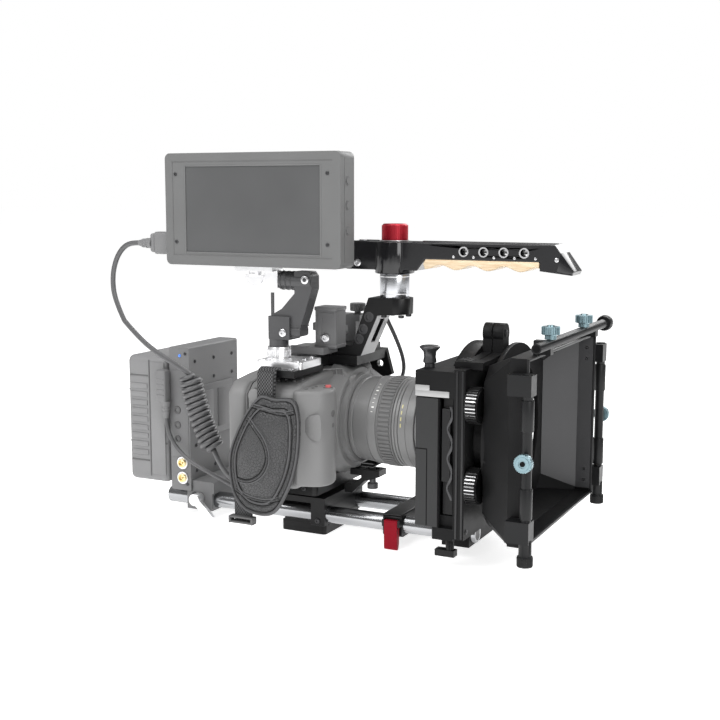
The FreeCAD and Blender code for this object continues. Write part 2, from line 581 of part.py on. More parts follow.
cells = [
    rod(f"cell_{column}_{row}", "y", "cellRadius", ("-cellLong / 2", "cellLong / 2"),
        (f"packRear + 13.6 + {column} * 19", f"packLow + 13.2 + {row} * 19"))
    for column in range(2) for row in range(6)
]
subPart("battery_cells", fuse("battery_cells", *cells))
size(rearClampRear=-120, rearClampFront=-92, rearLeverX=-106, rearLeverZ=22)
rearClamp = fuse(
    "rear_clamp_fused",
    box("rear_clamp_block", ("rearClampRear", "rearClampFront"), ("-frontClampSide", "frontClampSide"),
        ("frontClampLow", "boxLow")),
    box("rear_clamp_tab", ("boxFront", "rearClampFront + 2"), ("-frontClampSide", "frontClampSide"),
        ("boxLow - 1", "38")),
)
subPart("battery_rod_clamp", cut("battery_rod_clamp", rearClamp,
                                 *rodBores("rear", "rearClampRear - 1", "rearClampFront + 3")))
rearLever = [
    ("rearLeverX + 1", "rearLeverZ + 4"), ("rearLeverX - 4", "rearLeverZ - 2"),
    ("rearLeverX + 16", "rearLeverZ - 18"), ("rearLeverX + 20", "rearLeverZ - 14.5"),
]
subPart("battery_clamp_lever", fuse(
    "battery_clamp_lever",
    rod("rear_lever_hub", "y", "5.5", ("-frontClampSide - 10", "-frontClampSide - 0.3"),
        ("rearLeverX", "rearLeverZ")),
    plate("rear_lever_blade", "XZ_Plane", rearLever, "-frontClampSide - 9", "-frontClampSide - 5"),
))

# --- matte box ---
size(stageRear=131, stageFront=164.6, stageSide=80, stageLow=36, stageTop=165, frameFront=174,
     frameLow=27, frameTop=167, archRadius=76, cavityRear=140, cavityLow=46, cavityTop=144,
     slotRear=152, neckFront=186, neckOuter=60, neckInner=56, doorThick=5, footBlockRear=146.6,
     footBlockLow=26.5)
stage = cut(
    "stage_hollow",
    fuse("stage_outer",
         box("stage_block", ("stageRear", "stageFront"), ("-stageSide + doorThick", "stageSide"),
             ("stageLow", "stageTop")),
         box("stage_head", ("stageRear", "stageFront"), ("-stageSide", "-stageSide + 20"),
             ("143.5", "stageTop")),
         rod("stage_arch", "x", "archRadius", ("stageFront - 14", "stageFront"), lensCentre),
         box("rod_bracket", ("stageRear + 9", "stageFront"), ("-42", "42"),
             ("frontClampLow", "stageLow + 2")),
         box("foot_block", ("footBlockRear", "stageFront"), ("-stageSide", "-stageSide + 22"),
             ("footBlockLow", "stageLow + 0.4"))),
    box("stage_cavity", ("cavityRear", "stageFront + 1"), ("-stageSide - 1", "stageSide - 6"),
        ("cavityLow", "cavityTop - 1")),
    rod("stage_throat", "x", "lensRadius + 3", ("stageRear - 1", "cavityRear + 1"), lensCentre),
    *rodBores("stage", "stageRear - 1", "stageFront + 1"),
)
subPart("matte_stage", stage)
doorX = ("stageRear + 0.5", "slotRear")
subPart("tray_door", box("tray_door", doorX, ("-stageSide", "-stageSide + doorThick - 0.4"),
                         ("stageLow + 0.5", "143")))


def tray(label, low, tabReach):
    """A filter tray: a frame with a pane, which slides in from the near side, and its pull tab."""
    frame = box(label + "_frame", (low, f"{low} + 9"), ("-stageSide + 6", "stageSide - 7"),
                ("cavityLow + 0.4", "cavityTop - 1.4"))
    window = box(label + "_window", (f"{low} - 1", f"{low} + 10"), ("-60", "60"),
                 ("cavityLow + 9", "cavityTop - 9"))
    pane = box(label + "_pane", (f"{low} + 2.5", f"{low} + 6.5"), ("-61", "61"),
               ("cavityLow + 8", "cavityTop - 8"))
    tab = box(label + "_tab", (f"{low} + 1", f"{low} + 8"),
              (f"-stageSide + 7 - {tabReach}", "-stageSide + 7"),
              ("axisLevel - 30", "axisLevel + 30"))
    return subPart(label, fuse(label, cut(label + "_open", frame, window), pane, tab))


tray("filter_tray_rear", "cavityRear + 0.6", 2)
tray("filter_tray_front", "slotRear + 1.2", 6)
frame = cut(
    "front_frame_open",
    box("front_frame_block", ("stageFront", "frameFront"), ("-stageSide", "stageSide"),
        ("frameLow + 1", "frameTop")),
    rod("front_frame_hole", "x", "neckInner", ("stageFront - 1", "frameFront + 1"), lensCentre),
    *rodBores("frame", "stageFront - 1", "frameFront + 1"),
)
size(hingeY=-11, hingeZ=190, hingeRadius=8.5, hingeFootTop=172)
hingeArm = [
    ("-66", "frameTop"), ("-66", "frameTop + 3"), ("-46", "hingeFootTop"),
    ("hingeY - 8", "hingeFootTop + 2"),
    ("hingeY - 7", "hingeZ"), ("hingeY + 7", "hingeZ"), ("hingeY + 8", "hingeFootTop + 2"),
    ("hingeY + 14", "frameTop"),
]
rearLeaf = ("stageFront + 1", "frameFront - 0.5")
frontLeaf = ("frameFront + 0.5", "neckFront - 2.5")
hingeAt = ("hingeY", "hingeZ")
hinge = [
    plate("hinge_arm_rear", "YZ_Plane", hingeArm, *rearLeaf),
    plate("hinge_arm_front", "YZ_Plane", hingeArm, *frontLeaf),
    rod("hinge_knuckle_rear", "x", "hingeRadius", rearLeaf, hingeAt),
    rod("hinge_knuckle_front", "x", "hingeRadius", frontLeaf, hingeAt),
    rod("hinge_pin", "x", "2.5", ("stageFront + 0.5", "neckFront - 2"), hingeAt),
    box("hinge_foot", ("stageFront - 5", "neckFront - 2.5"), ("-66", "-48"),
        ("frameTop - 1", "hingeFootTop")),
]
gearSpots = (("upper", "axisLevel + 33"), ("lower", "axisLevel - 33"))
studs = [
    rod(f"gear_stud_{spot}", "x", "3", ("frameFront - 1", "frameFront + 8"), ("-70", level))
    for spot, level in gearSpots
]
subPart("matte_front_frame", fuse(
    "matte_front_frame", frame, *hinge, *studs,
    ring("frame_neck", "x", "neckOuter", "neckInner", ("frameFront - 1", "neckFront"), lensCentre)))
for spot, level in gearSpots:
    gear = [
        ("frameFront + 0.3", "3.1"), ("frameFront + 0.3", "14"), ("frameFront + 1", "15"),
        ("frameFront + 10", "15"), ("frameFront + 11", "13.5"), ("frameFront + 11", "0"),
        ("frameFront + 8.5", "0"), ("frameFront + 8.5", "3.1"),
    ]
    subPart(f"gear_knob_{spot}", turned(f"gear_knob_{spot}", "x", gear, ("-70", level)))
lockProfile = [
    ("stageTop + 0.3", "0"), ("stageTop + 0.3", "4"), ("stageTop + 4", "4"), ("stageTop + 4", "5.3"),
    ("stageTop + 11", "4.6"), ("stageTop + 15", "8.6"), ("stageTop + 16.5", "8.6"), ("stageTop + 18.5", "0"),
]
subPart("top_lock_knob", turned("top_lock_knob", "z", lockProfile, ("136", "-62")))
size(bottomX=157, bladeTop=15)
subPart("matte_bottom_lever", fuse(
    "matte_bottom_lever",
    rod("bottom_stem", "z", "3.5", ("bladeTop - 2", "footBlockLow - 0.3"), ("bottomX", "-66")),
    box("bottom_blade", ("bottomX - 12", "bottomX + 5"), ("-70", "-62"), ("bladeTop - 5.5", "bladeTop")),
))

# --- hood, flared from a round flange to a wide front frame ---
size(flangeFront=190, flangeRadius=76, flangeBore=62, hoodWall=2.2, bandRear=217, bandFront=230,
     bandSide=97, bandLow=34, bandTop=182, rearSide=75, rearHigh=65, cornerCut=12)


def ringOfEight(side, low, high, chamfer, inset):
    """An eight-sided outline in y and z: a rectangle with its corners cut, set in from its sides."""
    left, right = f"-({side}) + {inset}", f"{side} - {inset}"
    bottom, top = f"{low} + {inset}", f"{high} - {inset}"
    return [
        (f"{left} + {chamfer}", bottom), (f"{right} - {chamfer}", bottom), (right, f"{bottom} + {chamfer}"),
        (right, f"{top} - {chamfer}"), (f"{right} - {chamfer}", top), (f"{left} + {chamfer}", top),
        (left, f"{top} - {chamfer}"), (left, f"{bottom} + {chamfer}"),
    ]


def flare(name, inset, rear, front):
    """A loft from the flange's cut-corner square to the front frame's rectangle."""
    body = doc.addObject("PartDesign::Body", name)
    start = outline(body, name + "_rear", "YZ_Plane", ringOfEight(
        "rearSide", "axisLevel - rearHigh", "axisLevel + rearHigh", "cornerCut", inset), rear)
    end = outline(body, name + "_front", "YZ_Plane", ringOfEight(
        "bandSide", "bandLow", "bandTop", "2", inset), front)
    loft = body.newObject("PartDesign::AdditiveLoft", name + "_loft")
    loft.Profile = start
    loft.Sections = [end]
    loft.Ruled = True
    return body


bandOuter = box("band_outer", ("bandRear - 0.5", "bandFront"), ("-bandSide", "bandSide"),
                ("bandLow", "bandTop"))
hoodOuter = fuse(
    "hood_outer", flare("flare_outer", "0", "flangeFront - 2", "bandRear"), bandOuter,
    rod("hood_flange", "x", "flangeRadius", ("neckFront + 0.1", "flangeFront"), lensCentre))
hoodInner = [
    flare("flare_inner", "hoodWall", "flangeFront", "bandRear + 0.01"),
    box("band_inner", ("bandRear - 1", "bandFront + 1"), ("-bandSide + hoodWall", "bandSide - hoodWall"),
        ("bandLow + hoodWall", "bandTop - hoodWall")),
    rod("flange_bore", "x", "flangeBore", ("neckFront - 1", "flangeFront + 1"), lensCentre),
]
subPart("hood", cut("hood", hoodOuter, *hoodInner))

size(railX=234, railRadius=4, railSide=105, railLow=31, railTop=172, topRailX=237, topRailZ=190,
     railEnd=6)
railPieces = [rod("top_rail", "y", "railRadius", ("-97", "100"), ("topRailX", "topRailZ")),
              rod("top_rail_knob", "y", "6.5", ("99", "108"), ("topRailX", "topRailZ"))]
for side, sign in (("near", "-"), ("far", "")):
    inner, outer = f"{sign}bandSide", f"{sign}(railSide + 5)"
    span = (outer, inner) if sign else (inner, outer)
    centre = ("railX", f"{sign}railSide")
    railPieces += [
        rod(f"side_rail_{side}", "z", "railRadius", ("railLow", "railTop"), centre),
        rod(f"side_rail_end_{side}", "z", "railEnd", ("railLow - 8", "railLow"), centre),
        rod(f"side_rail_cap_{side}", "z", "railRadius + 1", ("railLow - 1", "railLow + 12"), centre),
        box(f"bracket_top_{side}", ("219", "railX + 4"), span, ("155", "171")),
        box(f"bracket_low_{side}", ("219", "railX + 4"), span, ("41", "58")),
        box(f"bracket_rail_{side}", ("226", "topRailX + 3"),
            ("-70", "-62") if sign else ("62", "70"), ("bandTop", "topRailZ + 3")),
    ]
subPart("flag_rails", fuse("flag_rails", *railPieces))
knobSpots = [("z", ("topRailZ + 4", "topRailZ + 14"), ("topRailX", y)) for y in ("-61", "34")]
knobSpots += [("y", span, ("railX", "axisLevel")) for span in
              (("-railSide - 12", "-railSide - 4"), ("railSide + 4", "railSide + 12"))]
subPart("rail_knobs", fuse("rail_knobs", *[
    rod(f"rail_knob_{i}", axis, "7", reach, at) for i, (axis, reach, at) in enumerate(knobSpots)]))

# --- cords and what is on them ---
size(hdmiRadius=2.4, coilRadius=11, leadRadius=2, runRadius=1.8)
subPart("hdmi_plug", fuse(
    "hdmi_plug",
    box("hdmi_shell", ("-131", "monitorLeft - 0.2"), ("-72", "-62"), ("251", "272")),
    rod("hdmi_relief", "x", "3.2", ("-148", "-130"), ("-67", "261"), tip="5"),
))
hdmiRoute = [(-148, -67, 261), (-158, -67, 261), (-168, -67, 255.2), (-175.5, -67, 244), (-179.5, -67, 228),
             (-177.5, -67, 208), (-167, -67, 189), (-151, -66, 173), (-132, -64, 160), (-114, -60.5, 150),
             (-103, -57, 141.9)]
tube("hdmi_cord", "hdmiRadius", hdmiRoute)
tube("hdmi_coil", "coilRadius", [(-103, -57, 141.9), (-97, -56.5, 108), (-78, -57, 74)])
tailRoute = [(-78, -57, 73.9), (-71.5, -57.3, 61.5), (-65.5, -53, 50), (-60.5, -43, 42), (-58, -29, 38.5),
             (-57, -12, 39), (-57, 8, 43), (-57.5, 30, 51), (-56, 51, 62), (-50, 70, 75), (-39, 85, 87),
             (-25, 96, 96.5), (-10, 101.5, 103.5), (1, 99, 107.7), (6.5, 93, 109), (8, 87, 109)]
tube("hdmi_tail", "hdmiRadius", tailRoute)
subPart("dtap_plug", fuse(
    "dtap_plug",
    box("dtap_shell", ("-146", "-134"), ("-52", "-boxSide - 0.2"), ("110", "143")),
    rod("dtap_relief", "z", "2.8", ("97", "111"), ("-137", "-47"), tip="4.4"),
))
leadRoute = [(-137, -47, 97), (-136, -47.3, 88), (-131, -48, 77), (-121.5, -49.5, 67), (-108, -51, 59),
             (-92, -51.5, 52.5), (-78, -48.5, 46), (-67, -41, 37), (-60.5, -28, 32), (-57, -11, 30.5),
             (-55.5, 9, 33), (-55, 29, 40), (-53.5, 49, 48), (-48, 67, 56.5), (-38, 83, 65), (-24, 94, 73),
             (-9, 99, 79), (2, 97, 81.8), (7, 92, 82.5), (8, 87, 82.5)]
tube("power_lead", "leadRadius", leadRoute)
subPart("camera_plugs", fuse(
    "camera_plugs",
    box("camera_hdmi_plug", ("2", "14"), ("cameraFar + 0.2", "87"), ("99", "119")),
    rod("camera_power_plug", "y", "4.5", ("cameraFar + 0.2", "87"), ("8", "82.5")),
))
runRoute = [(60, 14, 199), (61.2, 17.5, 192), (64, 22, 183), (66.5, 28.5, 171), (68.5, 35, 158),
            (67.5, 41.5, 145), (61.5, 47.5, 133.5), (50, 52.5, 126.5), (38, 55.5, 123), (30.2, 57, 121.5)]
tube("run_cable", "runRadius", runRoute)

doc.recompute()
doc.removeObject("scratch")
doc.recompute()
failed = [o.Label for o in doc.Objects if "Invalid" in o.State or "Error" in o.State]
failed += [o.Label for o in subParts if o.Shape.isNull() or not o.Shape.isValid()]
if failed:
    raise RuntimeError(f"failed: {failed}")
os.makedirs("parts", exist_ok=True)
for thing in subParts:
    thing.Shape.exportStep(f"parts/{thing.Label}.step")
print(len(subParts), "sub-parts")
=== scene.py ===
import math

import bmesh
import bpy
from mathutils import Matrix, Vector


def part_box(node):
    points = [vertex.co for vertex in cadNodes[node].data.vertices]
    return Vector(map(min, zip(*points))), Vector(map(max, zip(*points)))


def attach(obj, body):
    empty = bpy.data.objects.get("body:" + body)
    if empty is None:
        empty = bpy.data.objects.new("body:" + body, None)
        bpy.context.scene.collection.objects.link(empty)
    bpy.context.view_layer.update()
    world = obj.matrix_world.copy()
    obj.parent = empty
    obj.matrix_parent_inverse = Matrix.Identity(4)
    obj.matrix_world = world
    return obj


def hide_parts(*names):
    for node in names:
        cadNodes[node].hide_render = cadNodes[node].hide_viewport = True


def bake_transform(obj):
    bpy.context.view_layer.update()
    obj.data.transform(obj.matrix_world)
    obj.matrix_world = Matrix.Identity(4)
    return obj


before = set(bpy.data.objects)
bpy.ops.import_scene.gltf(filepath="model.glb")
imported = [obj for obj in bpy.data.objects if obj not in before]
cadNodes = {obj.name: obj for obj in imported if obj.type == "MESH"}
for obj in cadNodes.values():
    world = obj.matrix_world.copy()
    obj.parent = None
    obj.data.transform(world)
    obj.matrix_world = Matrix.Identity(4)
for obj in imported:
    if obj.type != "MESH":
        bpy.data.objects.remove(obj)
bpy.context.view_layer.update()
print("frame loaded:", len(cadNodes), "nodes")

mm = 0.001
fullTurn = 2 * math.pi
toAxis = {
    "x": Matrix.Rotation(math.pi / 2, 4, "Y"),
    "y": Matrix.Rotation(-math.pi / 2, 4, "X"),
    "z": Matrix.Identity(4),
}


# --- camera, light and floor ---

shot = dict(place=(504.75, -944.23, 306.58), azimuth=26.11, elevation=8.09, roll=-0.04, lens=59.02,
            sensor=36)
lamps = dict(
    key=dict(place=(-500, -900, 1100), size=900, watts=14),
    front=dict(place=(1000, -700, 700), size=700, watts=9),
    back=dict(place=(300, 1000, 900), size=900, watts=12),
    top=dict(place=(50, 0, 1400), size=1100, watts=12),
)
room = dict(floorSize=30000, floorColour=(0.93, 0.93, 0.93), floorGlow=0.76, glow=0.26, backdrop=1.0)


def addLamp(name, place, size, watts):
    lamp = bpy.data.lights.new(name, "AREA")
    lamp.size = size * mm
    lamp.energy = watts
    holder = bpy.data.objects.new(name, lamp)
    holder.location = Vector(place) * mm
    aim = Vector((30, 0, 150)) * mm - holder.location
    holder.rotation_euler = aim.to_track_quat("-Z", "Y").to_euler()
    bpy.context.scene.collection.objects.link(holder)


def setUpRoom():
    scene = bpy.context.scene
    eye = bpy.data.cameras.new("eye")
    eye.lens = shot["lens"]
    eye.sensor_width = shot["sensor"]
    holder = bpy.data.objects.new("eye", eye)
    holder.location = Vector(shot["place"]) * mm
    holder.rotation_euler = [math.radians(a) for a in
                             (90 - shot["elevation"], shot["roll"], shot["azimuth"])]
    scene.collection.objects.link(holder)
    scene.camera = holder
    for name, lamp in lamps.items():
        addLamp(name, **lamp)
    scene.view_settings.view_transform = "Standard"
    world = bpy.data.worlds.new("studio")
    scene.world = world
    world.use_nodes = True
    tree = world.node_tree
    sky = tree.nodes["Background"]
    sky.inputs["Color"].default_value = (1, 1, 1, 1)
    sky.inputs["Strength"].default_value = room["glow"]
    seen = tree.nodes.new("ShaderNodeBackground")
    seen.inputs["Color"].default_value = (1, 1, 1, 1)
    seen.inputs["Strength"].default_value = room["backdrop"]
    path = tree.nodes.new("ShaderNodeLightPath")
    mix = tree.nodes.new("ShaderNodeMixShader")
    tree.links.new(path.outputs["Is Camera Ray"], mix.inputs[0])
    tree.links.new(sky.outputs[0], mix.inputs[1])
    tree.links.new(seen.outputs[0], mix.inputs[2])
    tree.links.new(mix.outputs[0], tree.nodes["World Output"].inputs["Surface"])


# --- materials ---

class Wire:
    # the output of a node, so that sums on it are written as they are read
    def __init__(self, tree, socket):
        self.tree = tree
        self.socket = socket

    def math(self, operation, *terms):
        node = self.tree.nodes.new("ShaderNodeMath")
        node.operation = operation
        for slot, term in zip(node.inputs, terms):
            if isinstance(term, Wire):
                self.tree.links.new(term.socket, slot)
            else:
                slot.default_value = term
        return Wire(self.tree, node.outputs[0])

    def __add__(self, other):
        return self.math("ADD", self, other)

    def __radd__(self, other):
        return self.math("ADD", other, self)

    def __sub__(self, other):
        return self.math("SUBTRACT", self, other)

    def __rsub__(self, other):
        return self.math("SUBTRACT", other, self)

    def __mul__(self, other):
        return self.math("MULTIPLY", self, other)

    def __rmul__(self, other):
        return self.math("MULTIPLY", other, self)


class Finish:
    # one material: its tree, and the place on the piece that its patterns read
    def __init__(self, name):
        self.material = bpy.data.materials.new(name)
        self.material.use_nodes = True
        self.tree = self.material.node_tree
        self.shader = self.tree.nodes["Principled BSDF"]
        self.place = self.node("TexCoord", output="Object")

    def node(self, kind, settings=None, inputs=None, output=0):
        made = self.tree.nodes.new("ShaderNode" + kind)
        for key, value in (settings or {}).items():
            if key == "stops":
                ramp = made.color_ramp
                for stop, (at, colour) in zip(list(ramp.elements) + [None] * len(value), value):
                    stop = stop or ramp.elements.new(at)
                    stop.position = at
                    stop.color = (*colour, 1)
            else:
                setattr(made, key, value)
        for key, value in (inputs or {}).items():
            self.fill(made.inputs[key], value)
        return Wire(self.tree, made.outputs[output])

    def fill(self, slot, value):
        if isinstance(value, Wire):
            self.tree.links.new(value.socket, slot)
        else:
            slot.default_value = value

    def set(self, **values):
        for key, value in values.items():
            self.fill(self.shader.inputs[key.replace("_", " ")], value)

    def noise(self, scale, detail=3.0, stretch=None):
        place = self.place
        if stretch:
            place = self.node("Mapping", {}, {"Vector": place, "Scale": stretch}, "Vector")
        return self.node("TexNoise", {}, {"Vector": place, "Scale": scale, "Detail": detail}, "Fac")

    def shade(self, colour, amount, mask):
        # the colour, made lighter and darker by a mask from 0 to 1
        dark = [c * (1 - amount) for c in colour]
        light = [min(1, c * (1 + amount)) for c in colour]
        return self.node("ValToRGB", {"stops": [(0.3, dark), (0.7, light)]}, {"Fac": mask}, "Color")

    def bump(self, height, strength, distance=0.0003):
        return self.node("Bump", {}, {"Height": height, "Strength": strength, "Distance": distance},
                         "Normal")


def plainFinish(name, colour, rough=0.5, metal=0.0, tone=0.1, toneScale=30, grain=0.0, grainScale=2500,
                roughSpread=0.12, shine=0.5):
    # paint, moulding or metal: cloudy tone, uneven gloss and a fine grain
    finish = Finish(name)
    cloud = finish.noise(toneScale, 4.0)
    fine = finish.noise(grainScale, 2.0)
    finish.set(Base_Color=finish.shade(colour, tone, cloud * 0.7 + fine * 0.3),
               Roughness=rough - roughSpread / 2 + finish.noise(toneScale * 4, 3.0) * roughSpread,
               Metallic=metal, Specular_IOR_Level=shine)
    if grain:
        finish.set(Normal=finish.bump(fine, grain))
    return finish.material


def leatherFinish(name, colour):
    finish = Finish(name)
    cells = finish.node("TexVoronoi", {"feature": "DISTANCE_TO_EDGE"},
                        {"Vector": finish.place, "Scale": 430.0}, "Distance")
    pores = finish.noise(1100, 3.0)
    worn = finish.noise(28, 4.0)
    height = cells.math("MINIMUM", cells * 5, 0.6) + pores * 0.35
    finish.set(Base_Color=finish.shade(colour, 0.45, worn * 0.5 + height * 0.6),
               Roughness=0.52 - height * 0.18, Specular_IOR_Level=0.45,
               Normal=finish.bump(height, 0.9, 0.0008))
    return finish.material


def weaveFinish(name, colour, pitch=2.6):
    # two sets of waves at right angles, as the ribs of a narrow web
    finish = Finish(name)
    spread = fullTurn / (pitch * mm)
    axes = finish.node("SeparateXYZ", {}, {"Vector": finish.place}, "X")
    split = axes.socket.node.outputs
    across, height = Wire(finish.tree, split["X"]), Wire(finish.tree, split["Z"])
    warp = axes.math("SINE", across * spread)
    weft = axes.math("SINE", height * (spread * 0.8))
    thread = warp * weft * 0.5 + 0.5
    fluff = finish.noise(3000, 2.0)
    finish.set(Base_Color=finish.shade(colour, 0.75, thread * 0.8 + fluff * 0.2), Roughness=0.9,
               Specular_IOR_Level=0.2, Normal=finish.bump(thread + fluff * 0.3, 0.7, 0.0004))
    return finish.material


def woodFinish(name, light, dark):
    finish = Finish(name)
    streaks = finish.noise(60, 5.0, (1.2, 14, 14))
    pores = finish.noise(420, 3.0, (1, 12, 12))
    mix = streaks * 0.75 + pores * 0.25
    finish.set(Base_Color=finish.node("ValToRGB", {"stops": [(0.32, dark), (0.62, light)]}, {"Fac": mix},
                                      "Color"),
               Roughness=0.5 - streaks * 0.15, Specular_IOR_Level=0.35,
               Normal=finish.bump(pores, 0.12, 0.0002))
    return finish.material


def brushedFinish(name, colour, rough, stretch, metal=1.0):
    finish = Finish(name)
    lines = finish.noise(900, 3.0, stretch)
    cloud = finish.noise(22, 3.0)
    finish.set(Base_Color=finish.shade(colour, 0.1, lines * 0.5 + cloud * 0.5), Metallic=metal,
               Roughness=rough - 0.06 + lines * 0.14, Normal=finish.bump(lines, 0.12, 0.0001))
    return finish.material


def screenFinish(name, colour):
    # dark display glass, a little smeared
    finish = Finish(name)
    smear = finish.noise(9, 3.0)
    finish.set(Base_Color=finish.shade(colour, 0.1, smear), Roughness=0.22 + smear * 0.08,
               Specular_IOR_Level=0.3)
    return finish.material


def glassFinish(name):
    finish = Finish(name)
    # painted reflection: the glass's colour runs from dark blue face-on through purple to a light grey-green
    # at grazing angles
    sheen = finish.node("LayerWeight", {}, {"Blend": 0.4}, "Facing")
    paintedReflection = finish.node("ValToRGB", {"stops": [(0.0, (0.03, 0.04, 0.09)), (0.6, (0.12, 0.05, 0.16)),
                                              (1.0, (0.3, 0.34, 0.3))]}, {"Fac": sheen}, "Color")
    finish.set(Base_Color=paintedReflection, Roughness=0.03 + finish.noise(200) * 0.02, Coat_Weight=0.6)
    return finish.material


greys = dict(
    camera=(0.16, 0.16, 0.16), bezel=(0.112, 0.113, 0.113), screen=(0.075, 0.076, 0.077),
    lens=(0.17, 0.17, 0.17), battery=(0.19, 0.19, 0.192), boxGrey=(0.15, 0.15, 0.152),
    arm=(0.05, 0.05, 0.052), shoe=(0.13, 0.13, 0.132), leather=(0.03, 0.03, 0.031),
    black=(0.007, 0.007, 0.0073), deep=(0.003, 0.003, 0.0032), door=(0.009, 0.0092, 0.0098),
    rail=(0.007, 0.0072, 0.0077),
)
finishes = dict(
    rod=brushedFinish("rodBright", (0.36, 0.365, 0.375), 0.2, (1, 18, 18)),
    black=plainFinish("blackAnodised", greys["black"], 0.38, tone=0.3, grain=0.1, shine=0.22),
    matteBlack=plainFinish("matteBlack", greys["black"], 0.45, tone=0.3, grain=0.15, grainScale=1800,
                           shine=0.12),
    glossBlack=plainFinish("glossBlack", (0.006, 0.006, 0.007), 0.16, tone=0.2, shine=0.5, roughSpread=0.06),
    deep=plainFinish("deepBlack", greys["deep"], 0.7, tone=0.2, shine=0.1),
    door=plainFinish("doorGrey", greys["door"], 0.4, tone=0.12, grain=0.12, shine=0.4),
    rail=plainFinish("railGrey", greys["rail"], 0.38, tone=0.12, grain=0.06, shine=0.22),
    # painted light: the lit inner faces of the hood's flared sides, a lighter copy of its black finish
    paintedLightSheet=plainFinish("paintedLightSheetGrey", (0.05, 0.05, 0.052), 0.45, tone=0.15, toneScale=12, shine=0.35),
    camera=plainFinish("cameraGrey", greys["camera"], 0.5, tone=0.05, grain=0.25, grainScale=1600,
                       shine=0.4),
    cameraDark=plainFinish("cameraDark", (0.1, 0.1, 0.1), 0.55, tone=0.08, grain=0.2, shine=0.3),
    grip=plainFinish("gripRubber", (0.17, 0.17, 0.17), 0.7, tone=0.08, grain=0.6, grainScale=1100,
                     shine=0.25),
    lens=plainFinish("lensGrey", greys["lens"], 0.38, tone=0.05, grain=0.06, shine=0.5),
    lensRib=plainFinish("lensRubber", (0.14, 0.14, 0.14), 0.6, tone=0.1, grain=0.2, shine=0.35),
    lensMark=plainFinish("lensMark", (0.8, 0.8, 0.76), 0.5, tone=0.05),
    lensGold=plainFinish("lensGold", (0.6, 0.55, 0.25), 0.4, tone=0.05),
    glass=glassFinish("lensGlass"),
    circuit=plainFinish("circuit", (0.02, 0.12, 0.06), 0.5, tone=0.3, toneScale=120),
    cell=plainFinish("cellCan", (0.25, 0.3, 0.42), 0.3, 0.6, tone=0.1),
    leather=leatherFinish("strapLeather", greys["leather"]),
    piping=plainFinish("strapPiping", (0.07, 0.07, 0.072), 0.6, tone=0.15, grain=0.4, grainScale=2200,
                       shine=0.3),
    seam=plainFinish("strapSeam", (0.012, 0.012, 0.012), 0.8, tone=0.2, shine=0.15),
    webbing=weaveFinish("strapWebbing", (0.055, 0.055, 0.056)),
    bright=brushedFinish("brightAlloy", (0.86, 0.86, 0.87), 0.3, (14, 14, 1), 0.85),
    post=brushedFinish("postAlloy", (0.5, 0.51, 0.53), 0.25, (1, 1, 16)),
    steel=plainFinish("screwSteel", (0.62, 0.62, 0.63), 0.28, 1.0, tone=0.15, toneScale=200),
    darkSteel=plainFinish("darkScrew", (0.05, 0.05, 0.052), 0.35, 0.6, tone=0.2, toneScale=200),
    red=plainFinish("redAnodised", (0.36, 0.012, 0.025), 0.3, 0.55, tone=0.15, grain=0.05, shine=0.5),
    redLever=plainFinish("redLever", (0.2, 0.0, 0.008), 0.4, tone=0.12, shine=0.12),
    button=plainFinish("redButton", (0.5, 0.1, 0.1), 0.4, tone=0.1),
    wood=woodFinish("mapleGrip", (0.68, 0.56, 0.4), (0.52, 0.37, 0.22)),
    arm=plainFinish("armGrey", greys["arm"], 0.42, tone=0.1, grain=0.12, shine=0.4),
    shoe=plainFinish("shoeGrey", greys["shoe"], 0.42, tone=0.1, grain=0.12, shine=0.4),
    bezel=plainFinish("bezelGrey", greys["bezel"], 0.5, tone=0.04, grain=0.12, grainScale=2200, shine=0.35),
    screen=screenFinish("displayGlass", greys["screen"]),
    battery=plainFinish("batteryGrey", greys["battery"], 0.5, tone=0.08, grain=0.25, grainScale=1500,
                        shine=0.35),
    boxGrey=plainFinish("boxGrey", greys["boxGrey"], 0.5, tone=0.08, grain=0.2, grainScale=1800, shine=0.35),
    brass=plainFinish("brassSocket", (0.75, 0.62, 0.35), 0.3, 0.9, tone=0.15, toneScale=200),
    lamp=plainFinish("statusLamp", (0.1, 0.25, 0.75), 0.3, tone=0.1),
    cable=plainFinish("cableJacket", (0.075, 0.075, 0.077), 0.34, tone=0.12, shine=0.5),
    plug=plainFinish("plugMoulding", (0.16, 0.16, 0.162), 0.5, tone=0.1, grain=0.2, shine=0.35),
    blueSilver=brushedFinish("blueSilver", (0.2, 0.29, 0.32), 0.3, (6, 6, 6), 0.8),
    stripAlloy=brushedFinish("stripAlloy", (0.34, 0.34, 0.34), 0.4, (14, 14, 1), 0.5),
    riserFace=plainFinish("riserFace", (0.32, 0.32, 0.325), 0.45, 0.2, tone=0.08, grain=0.1),
    floor=plainFinish("paleFloor", room["floorColour"], 0.6, tone=0.01, toneScale=2, shine=0.2),
)
print("materials ready:", len(finishes))


# --- shaping with bmesh operators, in millimetres ---

def placed(axis, along, centre):
    where = list(centre)
    where.insert("xyz".index(axis), along)
    return Matrix.Translation(where) @ toAxis[axis]


def soften(bm, verts, amount, steps=2, angle=30, pick=None):
    # rounds the sharp edges among some vertices
    near = set(verts)
    edges = [e for e in bm.edges if e.verts[0] in near and e.verts[1] in near and e.is_manifold
             and e.calc_face_angle() > math.radians(angle) and (pick is None or pick(e))]
    if edges:
        bmesh.ops.bevel(bm, geom=edges, offset=amount, offset_type="OFFSET", segments=steps, profile=0.5,
                        affect="EDGES", material=-1, clamp_overlap=True)


def added(bm, before):
    return [v for v in bm.verts if v not in before]


def block(bm, low, high, soft=0.6, steps=2, turn=None):
    before = set(bm.verts)
    made = bmesh.ops.create_cube(bm, size=1)["verts"]
    low, high = Vector(low), Vector(high)
    bmesh.ops.scale(bm, vec=high - low, verts=made)
    bmesh.ops.translate(bm, vec=(low + high) / 2, verts=made)
    if soft:
        soften(bm, made, soft, steps)
    if turn is not None:
        bmesh.ops.transform(bm, matrix=turn, verts=added(bm, before))
    return added(bm, before)


